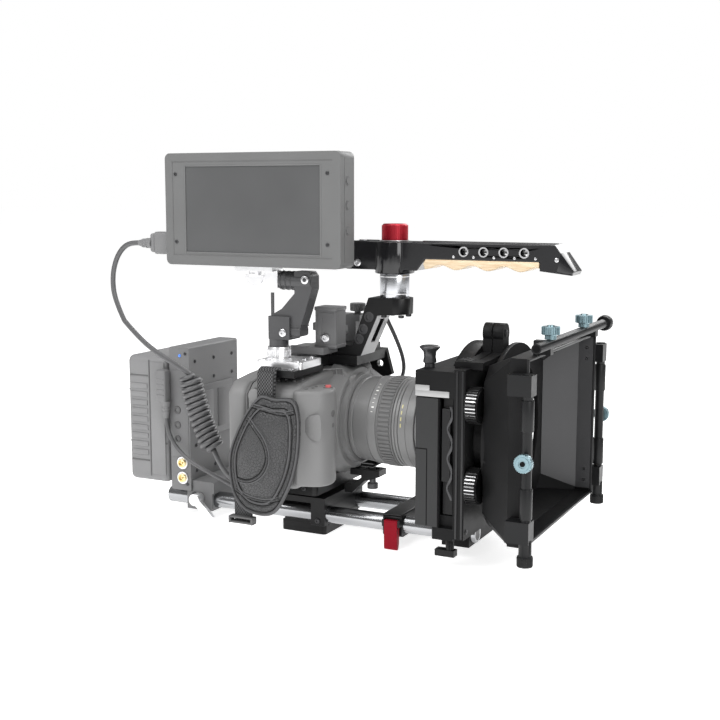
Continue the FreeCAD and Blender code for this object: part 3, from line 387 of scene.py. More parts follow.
def bar(bm, axis, radius, low, high, centre, soft=0.0, sides=40):
    before = set(bm.verts)
    made = bmesh.ops.create_cone(bm, cap_ends=True, segments=sides, radius1=radius, radius2=radius,
                                 depth=high - low)["verts"]
    bmesh.ops.transform(bm, matrix=placed(axis, (low + high) / 2, centre), verts=made)
    if soft:
        soften(bm, made, soft, 2, angle=40)
    return added(bm, before)


def lathe(bm, axis, profile, centre, sides=72):
    # profile points are (place along the axis, radius)
    before = set(bm.verts)
    row = [bm.verts.new((radius, 0, at)) for at, radius in profile]
    pairs = list(zip(row, row[1:]))
    if profile[0][1] > 0:
        pairs.append((row[-1], row[0]))
    edges = [bm.edges.new(pair) for pair in pairs]
    bmesh.ops.spin(bm, geom=row + edges, cent=(0, 0, 0), axis=(0, 0, 1), dvec=(0, 0, 0), angle=fullTurn,
                   steps=sides, use_merge=True)
    bmesh.ops.remove_doubles(bm, verts=added(bm, before), dist=0.0005)
    bmesh.ops.transform(bm, matrix=placed(axis, 0, centre), verts=added(bm, before))
    return added(bm, before)


def slab(bm, plane, outline, low, high, soft=0.0, steps=2, angle=30, pick=None):
    # an outline in a plane, made thick between two levels across it
    before = set(bm.verts)
    across = {"yz": 0, "xz": 1, "xy": 2}[plane]
    corners = []
    for u, v in outline:
        place = [u, v]
        place.insert(across, low)
        corners.append(bm.verts.new(place))
    made = bmesh.ops.extrude_face_region(bm, geom=[bm.faces.new(corners)])["geom"]
    shift = [0, 0, 0]
    shift[across] = high - low
    bmesh.ops.translate(bm, vec=shift, verts=[g for g in made if isinstance(g, bmesh.types.BMVert)])
    if soft:
        bmesh.ops.recalc_face_normals(bm, faces=bm.faces)
        soften(bm, added(bm, before), soft, steps, angle, pick)
    return added(bm, before)


def toothed(outer, inner, teeth, share=0.5):
    # the outline of a wheel with straight-sided teeth, as (u, v) points
    points = []
    for i in range(teeth):
        for turn, radius in ((0, outer), (share * 0.8, outer), (share, inner), (0.9, inner)):
            a = fullTurn * (i + turn) / teeth
            points.append((radius * math.cos(a), radius * math.sin(a)))
    return points


def wheel(bm, axis, outer, inner, teeth, low, high, centre, soft=0.0, share=0.5):
    before = set(bm.verts)
    slab(bm, "xy", toothed(outer, inner, teeth, share), low, high, soft, 1, 50,
         lambda e: abs(e.verts[0].co.z - e.verts[1].co.z) < 0.001)
    bmesh.ops.transform(bm, matrix=placed(axis, 0, centre), verts=added(bm, before))
    return added(bm, before)


def screw(bm, axis, radius, at, centre, out=1, height=None):
    # a round head with a round socket
    height = radius * 0.6 if height is None else height
    tall = [(-0.2, 0), (-0.2, radius), (height * 0.75, radius), (height, radius * 0.82),
            (height, radius * 0.5), (height * 0.25, radius * 0.48), (height * 0.25, 0)]
    lathe(bm, axis, [(at + out * a, r) for a, r in tall], centre, 18)


def bridged(bm, rings):
    # a closed tube through rings of four corners
    loops = []
    for corners in rings:
        ring = [bm.verts.new(corner) for corner in corners]
        loops.append([bm.edges.new((ring[k], ring[(k + 1) % 4])) for k in range(4)])
    for one, other in zip(loops, loops[1:]):
        bmesh.ops.bridge_loops(bm, edges=one + other)
    bmesh.ops.holes_fill(bm, edges=loops[0] + loops[-1], sides=4)


def smoothLoop(points, steps=8):
    # a closed curve through some points
    out = []
    count = len(points)
    for i in range(count):
        a, b, c, d = (Vector(points[(i + k - 1) % count]) for k in range(4))
        for k in range(steps):
            t = k / steps
            place = 0.5 * (2 * b + (c - a) * t + (2 * a - 5 * b + 4 * c - d) * t * t
                           + (3 * b - a - 3 * c + d) * t ** 3)
            out.append(tuple(place))
    return out


def smoothPath(points, steps=5):
    # an open curve through some points
    ends = [points[0]] + list(points) + [points[-1]]
    return smoothLoop(ends, steps)[steps:-2 * steps] + [points[-1]]


def link(name, data, finish):
    piece = bpy.data.objects.new(name, data)
    bpy.context.scene.collection.objects.link(piece)
    data.materials.append(finishes[finish])
    return piece


def make(name, bm, finish, body="rig", stands=(), sharp=32):
    bmesh.ops.scale(bm, vec=(mm, mm, mm), verts=bm.verts)
    bmesh.ops.recalc_face_normals(bm, faces=bm.faces)
    mesh = bpy.data.meshes.new(name)
    bm.to_mesh(mesh)
    bm.free()
    mesh.polygons.foreach_set("use_smooth", [True] * len(mesh.polygons))
    mesh.set_sharp_from_angle(angle=math.radians(sharp))
    piece = link(name, mesh, finish)
    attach(piece, body)
    if stands:
        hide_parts(*stands)
    return piece


def boxOf(node):
    low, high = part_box(node)
    return low / mm, high / mm


def dress(node, finish, edge=0.35):
    # a CAD node keeps its shape: it gets its material, and its sharp edges are eased
    piece = cadNodes[node]
    piece.data.materials.clear()
    piece.data.materials.append(finishes[finish])
    if edge:
        weld = piece.modifiers.new("weld", "WELD")
        weld.merge_threshold = 0.000005
        ease = piece.modifiers.new("ease", "BEVEL")
        ease.width = edge * mm
        ease.segments = 2
        ease.limit_method = "ANGLE"
        ease.angle_limit = math.radians(40)
        ease.harden_normals = True


# --- cords ---

lead = dict(radius=2.4, pitch=5.2, coilRadius=8.5, stepsPerTurn=14)
hdmiUpper = [(-148.1, -67, 261), (-158, -67, 261), (-168, -67, 255.2), (-175.5, -67, 244),
             (-179.5, -67, 228),
             (-177.5, -67, 208), (-167, -67, 189)]
hdmiLower = [(-151, -66, 173), (-132, -64, 160), (-114, -60.5, 150), (-103, -57, 141.9)]
hdmiCoil = [(-103, -57, 141.9), (-97, -56.5, 108), (-78, -57, 74)]
hdmiTail = [(-78, -57, 73.9), (-71.5, -57.3, 61.5), (-65.5, -53, 50), (-60.5, -43, 42), (-58, -29, 38.5),
            (-57, -12, 39), (-57, 8, 43), (-57.5, 30, 51), (-56, 51, 62), (-50, 70, 75), (-39, 85, 87),
            (-25, 96, 96.5), (-10, 101.5, 103.5), (1, 99, 107.7), (6.5, 93, 109), (8, 87, 109)]
powerLead = [(-137, -47, 97), (-136, -47.3, 88), (-131, -48, 77), (-121.5, -49.5, 67), (-108, -51, 59),
             (-92, -51.5, 52.5), (-78, -48.5, 46), (-67, -41, 37), (-60.5, -28, 32), (-57, -11, 30.5),
             (-55.5, 9, 33), (-55, 29, 40), (-53.5, 49, 48), (-48, 67, 56.5), (-38, 83, 65), (-24, 94, 73),
             (-9, 99, 79), (2, 97, 81.8), (7, 92, 82.5), (8, 87, 82.5)]
runCable = [(60, 14, 199), (61.2, 17.5, 192), (64, 22, 183), (66.5, 28.5, 171), (68.5, 35, 158),
            (67.5, 41.5, 145), (61.5, 47.5, 133.5), (50, 52.5, 126.5), (38, 55.5, 123), (30.2, 57, 121.5)]


def curveOf(name, points, radius=0.0):
    curve = bpy.data.curves.new(name, "CURVE")
    curve.dimensions = "3D"
    spline = curve.splines.new("NURBS")
    spline.points.add(len(points) - 1)
    for point, place in zip(spline.points, points):
        point.co = (*(Vector(place) * mm), 1)
    spline.order_u = 3
    spline.use_endpoint_u = True
    spline.resolution_u = 6
    curve.bevel_depth = radius * mm
    curve.bevel_resolution = 3
    curve.use_fill_caps = True
    return curve


def readMesh(name, curve):
    holder = bpy.data.objects.new(name, curve)
    bpy.context.scene.collection.objects.link(holder)
    bpy.context.view_layer.update()
    mesh = bpy.data.meshes.new_from_object(holder)
    bpy.data.objects.remove(holder)
    return mesh


def lineOf(points):
    # the smooth line that a cord's spline follows, as points in metres
    mesh = readMesh("line", curveOf("line", points))
    return [v.co.copy() for v in mesh.vertices]


def lengthOf(line):
    return sum((b - a).length for a, b in zip(line, line[1:]))


def tubeMesh(name, points, radius, finish):
    mesh = readMesh(name, curveOf(name, points, radius))
    mesh.name = name
    mesh.polygons.foreach_set("use_smooth", [True] * len(mesh.polygons))
    return link(name, mesh, finish)


def curlAround(spine):
    # the turns of a curly cord round its spine, a loop of points that widens from the line and closes again
    line = [p / mm for p in lineOf(spine)]
    gaps = [(b - a).length for a, b in zip(line, line[1:])]
    whole = sum(gaps)
    count = round(whole / lead["pitch"] * lead["stepsPerTurn"])
    side = Vector((0, 1, 0))
    turns = []
    for i in range(1, count):
        reach = whole * i / count
        k = 0
        while k < len(gaps) - 1 and reach > gaps[k]:
            reach -= gaps[k]
            k += 1
        heading = (line[k + 1] - line[k]).normalized()
        middle = line[k] + heading * reach
        out = (side - heading * side.dot(heading)).normalized()
        other = heading.cross(out)
        open_ = min(1, i / lead["stepsPerTurn"] * 1.4, (count - i) / lead["stepsPerTurn"] * 1.4)
        a = fullTurn * i / lead["stepsPerTurn"]
        turns.append(tuple(middle + (out * math.cos(a) + other * math.sin(a)) * lead["coilRadius"] * open_))
    return turns


def addPlugs():
    bm = bmesh.new()
    block(bm, (-129, -72, 251.5), (boxOf("hdmi_plug")[1].x, -62, 271.5), 2.2, 4)
    block(bm, (-134, -71, 253), (-128, -63, 270), 2.4, 4)
    lathe(bm, "x", [(-133, 0), (-133, 5.2), (-136, 4.8), (-136.6, 4), (-138, 4), (-138.6, 4.6), (-140, 4.4),
                    (-140.6, 3.6), (-142, 3.6), (-142.6, 4.1), (-144, 3.9), (-144.6, 3.2), (-148, 2.6),
                    (-148, 0)], (-67, 261), 28)
    plug = make("hdmiPlug", bm, "plug", "monitor", ["hdmi_plug"])
    bm = bmesh.new()
    block(bm, (-145.5, -52, 112), (-134.5, -42.4, 142.5), 2, 3)
    for level in (118, 123, 128, 133):
        block(bm, (-144, -52.4, level), (-136, -51.6, level + 1.6), 0.3)
    lathe(bm, "z", [(113, 0), (113, 4.3), (109, 4.1), (108.4, 3.4), (107, 3.4), (106.4, 3.9), (105, 3.7),
                    (104.4, 3), (103, 3), (102.4, 3.4), (97, 2.3), (97, 0)], (-137, -47), 28)
    dtap = make("powerPlug", bm, "plug", "rig", ["dtap_plug"])
    bm = bmesh.new()
    block(bm, (2.2, 78.3, 99.4), (13.8, 85, 118.6), 1.6, 3)
    lathe(bm, "y", [(84, 0), (84, 4.4), (87, 2.9), (87, 0)], (8, 109), 28)
    camHdmi = make("cameraHdmiPlug", bm, "plug", "rig", ["camera_plugs"])
    bm = bmesh.new()
    lathe(bm, "y", [(78.3, 0), (78.3, 4.4), (83, 4.4), (83.6, 3.8), (85, 3.6), (87, 2.6), (87, 0)],
          (8, 82.5), 28)
    camPower = make("cameraPowerPlug", bm, "plug", "rig", ())
    return plug, dtap, camHdmi, camPower


def addCords():
    plug, dtap, camHdmi, camPower = addPlugs()
    meet = hdmiUpper[-1]
    upper = tubeMesh("hdmiLeadUpper", hdmiUpper, lead["radius"], "cable")
    line = lineOf(hdmiUpper)
    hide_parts("hdmi_cord")
    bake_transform(upper)
    whole = [meet] + hdmiLower[:-1] + curlAround(hdmiCoil) + hdmiTail
    lower = tubeMesh("hdmiLeadCurly", whole, lead["radius"], "cable")
    line = lineOf(whole)
    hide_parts("hdmi_coil", "hdmi_tail")
    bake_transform(lower)
    for name, points, radius, node, end, extras in (
            ("powerLead", powerLead, 2.0, "power_lead", "plug", [dtap, camPower]),
            ("runCable", runCable, 1.8, "run_cable", "object", [])):
        cord = tubeMesh(name, points, radius, "cable")
        line = lineOf(points)
        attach(cord, "rig")
        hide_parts(node)
        2 * radius * mm
        print(name, "length", round(lengthOf(line) / mm), "mm")


# --- rods, base and lens support ---

def addBase():
    for node, finish in dict(rods="rod", base_plate="black", rod_clamp="black", camera_plate="black",
                             lens_support_bracket="black", lens_support_pad="shoe",
                             front_rod_clamp="black", red_clamp_lever="redLever",
                             battery_rod_clamp="shoe", battery_clamp_lever="bright").items():
        dress(node, finish)
    low, high = boxOf("rods")
    bm = bmesh.new()
    for y in (-30, 30):
        lathe(bm, "x", [(high.x - 3, 0), (high.x - 3, 4.9), (high.x - 0.2, 4.9), (high.x - 0.2, 0)],
              (y, 20), 36)
        lathe(bm, "x", [(low.x + 0.2, 0), (low.x + 0.2, 4.9), (low.x + 3, 4.9), (low.x + 3, 0)], (y, 20), 36)
    make("rodEndCaps", bm, "darkSteel")
    bm = bmesh.new()
    for side in (-1, 1):
        screw(bm, "y", 2.2, side * 39, (19, 15), side)
    for x in (6, 18, -6):
        screw(bm, "y", 2.0, -62, (x, 50), -1)
    for z in (16, 25):
        screw(bm, "y", 2.2, -40, (-112, z), -1)
    make("clampScrews", bm, "darkSteel")
    bm = bmesh.new()
    wheel(bm, "y", 7.2, 6.4, 26, 44, 51.2, (93, 20), 0.3)
    make("tensionKnob", bm, "black")
    bm = bmesh.new()
    block(bm, (84.4, -39.5, 28.8), (101.6, 12, 30.6), 0.7, 3)
    make("clampCap", bm, "door")
    low, high = boxOf("lens_support_pad")
    bm = bmesh.new()
    block(bm, (low.x - 0.3, low.y - 0.3, high.z - 3.2), (high.x + 0.3, high.y + 0.3, high.z - 0.8), 0.4)
    make("supportPadRubber", bm, "deep", "lens_pad")
    print("base ready")


# --- camera body and lens ---

bodyEdge = [(-95, 57), (78, 57), (78, 133), (64, 147), (42, 152), (0, 153), (-32, 151), (-62, 149),
            (-86, 146), (-95, 137)]
gripEdge = [(26, -54), (38, -54), (48, -60), (53, -70), (53.8, -80), (49, -90), (38, -94.8), (26, -94.8)]


def addCamera():
    rearLow = boxOf("camera_rear_shell")[0]
    bm = bmesh.new()
    slab(bm, "yz", bodyEdge, -19.6, 30, 5, 4)
    slab(bm, "xy", smoothLoop(gripEdge, 4), 60.5, 142.6, 4, 4, 50)
    # the shoulders that carry the body round into the lens mount
    lathe(bm, "x", [(24, 0), (24, 52), (30, 51.2), (34, 49), (38, 46.4), (41.2, 45.9), (42, 45.2),
                    (42, 40.5),
                    (44, 40.2), (46.6, 40.0), (47.4, 38.5), (47.4, 0)], (0, 105), 96)
    slab(bm, "xz", [(20, 139), (28, 152.5), (33, 152), (43, 145), (45, 139), (42, 128), (30, 124)], -22, 22,
         3.5, 4)
    make("cameraFront", bm, "camera", "rig", ["camera_front_shell"], 40)
    bm = bmesh.new()
    slab(bm, "yz", bodyEdge, rearLow.x, -20.4, 5, 4)
    make("cameraRear", bm, "camera", "rig", ["camera_rear_shell"], 40)
    bm = bmesh.new()
    slab(bm, "yz", [(y * 0.985 - 0.2, 105 + (z - 105) * 0.975) for y, z in bodyEdge], -21, -19)
    block(bm, (rearLow.x - 0.4, -51, 69), (rearLow.x + 0.8, 63, 137), 1.5, 3)
    make("cameraSeam", bm, "cameraDark")
    bm = bmesh.new()
    block(bm, (rearLow.x - 0.7, -46, 73), (rearLow.x, 58, 133), 1.0, 3)
    make("rearDisplay", bm, "screen")
    addCameraDetails()


vent = dict(place=(31.5, -30, 143.6), turn=-45, lean=-32, slots=3, step=5.8, slot=5, rib=1.0, side=9.2,
            sink=0.6)
keys = dict(
    foot=140, radius=1.5,
    # place from above, and the level of the top
    spots=((4, -80, 148.3), (9, -76, 148.7), (13, -70, 149), (18, -78, 148.4), (22, -71, 149),
           (34, -86, 143.2), (37, -79, 143.2), (35, -70, 143.2), (40, -62, 143.2)),
    # the front's keys: radius and level
    front=((3.2, 122), (2.2, 112)),
)


def addCameraDetails():
    # a corner of the hump that faces outward and up, with slots in a raised border
    tilt = (Matrix.Translation(vent["place"]) @ Matrix.Rotation(math.radians(vent["turn"]), 4, "Z")
            @ Matrix.Rotation(math.radians(vent["lean"]), 4, "Y"))
    sink, side, step, wide = vent["sink"], vent["side"], vent["step"], vent["rib"]
    bm = bmesh.new()
    block(bm, (-16, -12.5, -14), (0, 12.5, 11), 3, 4, tilt)
    make("ventShoulder", bm, "camera")
    bm = bmesh.new()
    for i in range(vent["slots"]):
        start = -side + 0.9 + i * step
        block(bm, (-sink, start, -8.5), (0.35, start + vent["slot"], 8.5), 0.4, 2, tilt)
    make("ventSlots", bm, "cameraDark")
    bm = bmesh.new()
    for i in range(vent["slots"] + 1):
        start = -side + i * step
        block(bm, (-sink, start, -9), (wide, start + wide, 9), 0.35, 2, tilt)
    for level in (-9.6, 8.6):
        block(bm, (-sink, -side, level), (wide, side, level + wide), 0.35, 2, tilt)
    make("ventBorder", bm, "lens")
    bm = bmesh.new()
    foot, radius = keys["foot"], keys["radius"]
    for x, y, top in keys["spots"]:
        lathe(bm, "z", [(foot, 0), (foot, radius), (top - 0.4, radius), (top, radius - 0.4), (top, 0)],
              (x, y), 20)
    make("functionButtons", bm, "cameraDark")
    bm = bmesh.new()
    lathe(bm, "z", [(141.8, 2.75), (142.6, 2.75), (143.1, 3.1), (143.1, 3.9), (142.6, 4.3), (141.8, 4.3)],
          (46.5, -70), 40)
    make("recordRing", bm, "cameraDark")
    dress("record_button", "button", 0.5)
    bm = bmesh.new()
    bar(bm, "y", 7.5, -97.6, -93, (-8, 136), soft=0.8)
    wheel(bm, "y", 6.6, 6.1, 24, -100.6, -97, (-8, 136), 0.3)
    make("settingDial", bm, "camera")
    bm = bmesh.new()
    for radius, level in keys["front"]:
        bar(bm, "x", radius, 51, 54.2, (-76, level), soft=0.4)
    make("frontKeys", bm, "cameraDark")
    bm = bmesh.new()
    slab(bm, "xz", smoothLoop([(35.7, 112), (39, 120), (46, 123), (52, 122), (52, 103), (42, 103)], 6),
         -95.0,
         -94.2, 0.3)
    make("gripPatch", bm, "grip")
    bm = bmesh.new()
    for i in range(9):
        block(bm, (-32, 78, 74 + i * 6), (-20, 78.9, 77 + i * 6), 0.4)
    make("fanOutlet", bm, "cameraDark")
    bm = bmesh.new()
    for y, z in ((-88, 62), (70, 62), (-80, 143), (60, 144), (70, 128)):
        screw(bm, "x", 1.7, -39, (y, z), -1, 0.5)
    make("cameraScrews", bm, "darkSteel")
    print("camera ready")


lensShape = dict(centre=(0, 105), ribs=64, tickFirst=28, tickStep=6, goldFirst=60, goldStep=8,
                 ticks=(0.5, 0.5, 1.1, 0.5, 0.5, 0.5, 1.1, 0.5), goldMarks=4)


def aroundLens(angle):
    # from a place above the lens axis to one turned round it
    return Matrix.Translation((0, *lensShape["centre"])) @ Matrix.Rotation(angle, 4, "X")


def addLens():
    centre = lensShape["centre"]
    shell = [(48, 31), (48, 36.4), (49, 37), (51.5, 37.2), (52, 36.6), (53, 36.6), (53.6, 37.4), (62, 38.3),
             (67, 39.3), (67.4, 38.6), (68.4, 38.6), (68.8, 39.5), (75.4, 39.6), (75.8, 39.0), (75.8, 36.2),
             (91.2, 36.2), (91.2, 39.0), (91.6, 39.6), (93.4, 39.6), (93.8, 38.8), (94.6, 38.8), (95, 39.6),
             (96.4, 39.6), (96.8, 39), (96.8, 36.2), (112.2, 36.2), (112.4, 38.6), (113, 39),
             (124, 39), (124.5, 38.2), (125.5, 38.2), (126, 39), (138.6, 39), (140, 37.8), (140, 33.5),
             (137, 32), (134, 31.2)]
    bm = bmesh.new()
    lathe(bm, "x", shell, centre, 120)
    make("lensBarrel", bm, "lens", "rig", ["lens_barrel"], 25)
    bm = bmesh.new()
    lathe(bm, "x", [(76, 36.1), (76, 39.4), (76.5, 39.9), (77.6, 39.9), (78, 39.4), (89, 39.4), (89.4, 39.9),
                    (90.5, 39.9), (91, 39.4), (91, 36.1)], centre, 96)
    step = fullTurn / lensShape["ribs"]
    for i in range(lensShape["ribs"]):
        block(bm, (78, -1.25, 38.9), (89, 1.25, 40.3), 0.4, 1, aroundLens(i * step))
    make("zoomGrip", bm, "lensRib", "zoom", ["zoom_ring"])
    bm = bmesh.new()
    lathe(bm, "x", [(97, 36.1), (97, 39.2), (97.6, 39.8), (104, 39.9), (104.3, 39.6), (104.9, 39.6),
                    (105.2, 39.9), (111.4, 39.8), (112, 39.2), (112, 36.1)], centre, 120)
    make("focusGrip", bm, "lens", "focus", ["focus_ring"], 25)
    bm = bmesh.new()
    for i, wide in enumerate(lensShape["ticks"]):
        turn = aroundLens(math.radians(lensShape["tickFirst"] + i * lensShape["tickStep"]))
        block(bm, (70.5, -wide / 2, 39.4), (71.7 + wide, wide / 2, 39.65), 0, 1, turn)
    make("lensTicks", bm, "lensMark")
    bm = bmesh.new()
    for i in range(lensShape["goldMarks"]):
        turn = aroundLens(math.radians(lensShape["goldFirst"] + i * lensShape["goldStep"]))
        block(bm, (99.4, -1.6, 39.7), (100.3, 1.6, 40.0), 0, 1, turn)
    make("lensGoldMarks", bm, "lensGold", "focus")
    dress("lens_glass", "glass", 0)
    for node, finish in dict(main_board="circuit", camera_battery="battery", battery_cells="cell").items():
        dress(node, finish, 0)
    print("lens ready")


# --- hand strap ---

strap = dict(
    middle=(3, 87), inner=-101,
    edge=[(0.7, 138), (-13.7, 122), (-26, 98.6), (-31, 82), (-30.5, 61.7), (-25.4, 46), (-12, 35),
          (10.8, 36), (25.4, 56.7), (34.5, 82.4), (37.4, 109.3), (36.5, 127), (31, 137), (14, 136.5)],
    # share of the way out to the edge, and height off the inner side
    section=[(0, 0), (0.95, 0), (0.985, 0.5), (1, 1.6), (1, 3.2), (0.985, 4.5), (0.965, 4.9), (0.945, 4.6),
             (0.935, 4.1), (0.92, 4.7), (0.895, 5.2), (0.87, 5.5), (0.845, 5.5), (0.83, 5.0), (0.82, 5.0),
             (0.805, 5.9), (0.79, 6.4), (0.775, 6.4), (0.76, 5.9), (0.755, 5.6), (0.74, 6.4), (0.7, 7.4),
             (0.63, 8.5), (0.52, 9.7), (0.4, 10.6), (0.28, 11.2), (0.15, 11.6), (0, 11.7)],
    tear=[(-12, 117.5), (-2.4, 110.5), (6.6, 100.8), (10.6, 89.6), (9.2, 79.4), (2.6, 70.2), (-8.5, 64.4),
          (-21, 64.4)],
    top=[(-7.5, 128.5), (4, 126.6), (14, 124.8), (25, 124.2), (33, 126)],
    bottom=[(-24, 55), (-16, 51), (-4, 48.4), (8, 48), (18, 50.5)],
)


def reachOf(angle, edge):
    # how far the pad's edge is from its middle in one direction
    spots = [(math.atan2(z, x) % fullTurn, math.hypot(x, z)) for x, z in edge]
    spots.sort()
    spots = [(spots[-1][0] - fullTurn, spots[-1][1])] + spots + [(spots[0][0] + fullTurn, spots[0][1])]
    angle %= fullTurn
    for (a, p), (b, q) in zip(spots, spots[1:]):
        if a <= angle <= b:
            return p + (q - p) * (angle - a) / (b - a)


def padEdge():
    cx, cz = strap["middle"]
    return [(x - cx, z - cz) for x, z in smoothLoop(strap["edge"], 8)]


def onPad(x, z, lift=0.0):
    # the place on the pad's outer face over a point, a little above it
    cx, cz = strap["middle"]
    share = math.hypot(x - cx, z - cz) / reachOf(math.atan2(z - cz, x - cx), padEdge())
    outer = strap["section"][4:]
    for (f, h), (g, k) in zip(outer, outer[1:]):
        if g <= share <= f:
            high = h + (k - h) * (f - share) / (f - g)
            return (x, strap["inner"] - high - lift, z)
    return (x, strap["inner"] - outer[0][1] - lift, z)


def stripOn(name, path, radius, finish, lift=0.0):
    piece = tubeMesh(name, [onPad(x, z, lift) for x, z in path], radius, finish)
    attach(piece, "rig")


def beside(path, shift):
    # a line that keeps a distance from another, on its right
    out = []
    for i, place in enumerate(path):
        a, b = Vector(path[max(0, i - 1)]), Vector(path[min(len(path) - 1, i + 1)])
        heading = (b - a).normalized()
        out.append((place[0] + heading.y * shift, place[1] - heading.x * shift))
    return out


def addStrap():
    # a turned dome, drawn out in each direction to the pad's edge
    bm = bmesh.new()
    made = lathe(bm, "y", [(-high, share) for share, high in strap["section"]], (0, 0), 144)
    edge = padEdge()
    for v in made:
        far = reachOf(math.atan2(v.co.z, v.co.x), edge) if v.co.x or v.co.z else 0
        v.co = (strap["middle"][0] + v.co.x * far, strap["inner"] + v.co.y,
                strap["middle"][1] + v.co.z * far)
    pad = make("strapPad", bm, "leather", "rig", ["hand_strap_pad"], 70)
    cx, cz = strap["middle"]
    for name, share, radius, finish, lift in (
            ("strapPipingOuter", 0.975, 0.9, "piping", -0.1), ("strapSeamOuter", 0.937, 0.45, "seam", 0.0),
            ("strapPipingInner", 0.785, 0.8, "piping", 0.0), ("strapSeamInner", 0.757, 0.5, "seam", 0.0),
            ("strapSeamBack", 0.825, 0.5, "seam", 0.0)):
        loop = [(cx + x * share, cz + z * share) for x, z in edge[::3]]
        stripOn(name, loop + loop[:1], radius, finish, lift)
    for name, path in (("strapTear", strap["tear"]), ("strapTop", strap["top"]),
                       ("strapBottom", strap["bottom"])):
        line = smoothPath(path)
        for part, shift, radius, finish in (("Binding", 0, 1.0, "leather"), ("Piping", -1.9, 0.7, "piping"),
                                            ("Seam", 1.5, 0.42, "seam"), ("SeamBack", -1.2, 0.42, "seam")):
            stripOn(name + part, beside(line, shift), radius, finish, 0.1)
    addWebbing()


def ribbon(bm, path, side, wide, thick):
    # a flat web: a rectangle's edge drawn along points, kept square to one side
    half = Vector(side) * wide / 2
    rings = []
    for i, place in enumerate(path):
        a, b = Vector(path[max(0, i - 1)]), Vector(path[min(len(path) - 1, i + 1)])
        out = (b - a).normalized().cross(Vector(side)).normalized() * thick / 2
        rings.append([Vector(place) + s * half + t * out for s, t in ((-1, -1), (1, -1), (1, 1), (-1, 1))])
    bridged(bm, rings)


def addWebbing():
    bm = bmesh.new()
    ribbon(bm, [(3, -99.4, 126), (3, -99.2, 140), (3, -98.6, 152), (3, -97, 158.5), (3, -93, 159.8),
                (3, -89, 159.4)], (1, 0, 0), 17, 1.8)
    ribbon(bm, [(3, -100.6, 157), (3, -100.9, 148), (3, -101.4, 138), (3, -101.0, 131)], (1, 0, 0), 15, 1.4)
    ribbon(bm, [(-21, -99.6, 58), (-21, -99.4, 48), (-21, -99.2, 38), (-21, -99.0, 26)], (1, 0, 0), 17, 1.8)
    ribbon(bm, [(-21, -98, 47.6), (-21, -90, 47.4), (-21, -78, 47.4), (-21, -63, 47.6)], (1, 0, 0), 17, 1.8)
    make("strapWebbing", bm, "webbing", "rig", ["hand_strap_webbing"], 60)
    bm = bmesh.new()
    for z in (24, 28.6):
        block(bm, (-33.5, -104.5, z), (-9.5, -96.8, z + 1.6), 0.6, 2)
    for x in (-33.5, -11.5):
        block(bm, (x, -104.5, 23.6), (x + 2, -96.8, 30), 0.7, 2)
    make("strapSlider", bm, "cameraDark")
    print("strap ready")


# --- cage, riser, shoe clamp ---

riserShape = dict(faceLow=(49.6, 163.4), faceHigh=(65.8, 199.4), side=13.7, slot=4.6,
                  threads=((57.5, 198), (52, 187), (48, 178)))


def addCage():
    dress("cage_plate", "black")
    dress("shoe_clamp", "shoe", 0.5)
    dress("riser", "black", 0.5)
    bm = bmesh.new()
    # the bright machined face down the slope's front, open along its slot
    a, b = Vector(riserShape["faceLow"]), Vector(riserShape["faceHigh"])
    slope = (b - a).normalized()
    normal = Vector((slope.y, -slope.x))
    side, slot = riserShape["side"], riserShape["slot"]
    for y0, y1, s0, s1 in ((-side, -slot, 0, 1), (slot, side, 0, 1), (-slot, slot, 0, 0.3),
                           (-slot, slot, 0.9, 1)):
        p, q = a + (b - a) * s0, a + (b - a) * s1
        face = [p - normal * 0.3, q - normal * 0.3, q + normal * 0.35, p + normal * 0.35]
        slab(bm, "xz", [tuple(v) for v in face], y0, y1)
    make("riserFace", bm, "riserFace")
    bm = bmesh.new()
    for x, z in riserShape["threads"]:
        lathe(bm, "y", [(-14.25, 3.1), (-14.25, 4.4), (-13.9, 4.7), (-13.6, 4.7), (-13.6, 3.1)], (x, z), 30)
        lathe(bm, "y", [(-13.2, 0), (-13.2, 3.15), (-12.6, 3.15), (-12.6, 0)], (x, z), 24)
    make("riserThreadRims", bm, "darkSteel")
    bm = bmesh.new()
    for x, y in ((86, -8), (86, 8), (70, -9), (70, 9)):
        screw(bm, "z", 2.6, 199.8, (x, y), -1, 2.0)
    for x, y in ((-14, -34), (-14, 34), (-14, 0), (36, 30), (36, 42)):
        screw(bm, "z", 3.0, 163, (x, y), 1, 1.0)
    make("cageScrews", bm, "darkSteel")
    bm = bmesh.new()
    for x, y in ((-6, -87), (20, -87)):
        screw(bm, "z", 2.4, 158, (x, y), 1, 1.0)
    screw(bm, "y", 4.2, -34, (25, 180), -1, 1.8)
    for y in (-63, -50, -76):
        screw(bm, "z", 2.6, 164, (20, y), 1, 1.2)
    make("brightScrews", bm, "steel")
    bm = bmesh.new()
    # the shoe clamp's jaws, recess and knob
    slab(bm, "xz", [(17, 176), (18, 202), (33.5, 202), (33.5, 198.5), (22, 198.5), (20.6, 176)], -34.6,
         -33.9)
    block(bm, (14.4, -34.8, 171.8), (36.2, -15.2, 174.2), 0.5)
    block(bm, (14.2, -34.8, 203.8), (36.4, -15.0, 207.2), 0.6)
    block(bm, (11.5, -33, 186), (15.4, -17, 193), 0.8)
    wheel(bm, "z", 7.2, 6.6, 22, 199.4, 205.8, (28, 24), 0.3)
    block(bm, (-5.4, -43.4, 171.6), (12, -39, 172.8), 0.4)
    make("shoeDetails", bm, "shoe")
    print("cage ready")


# --- handle ---

handle = dict(side=12.5, top=264.3, post=(76, 0), threadFirst=145, threadPitch=17.7, threadLevel=257,
              gripRear=110, gripFront=209.5, gripLow=243.4, wave=2.1, waves=3.5, steps=36, gripSide=13.2,
              pins=(136, 154, 172, 190, 208), postRings=(218.2, 233.2))


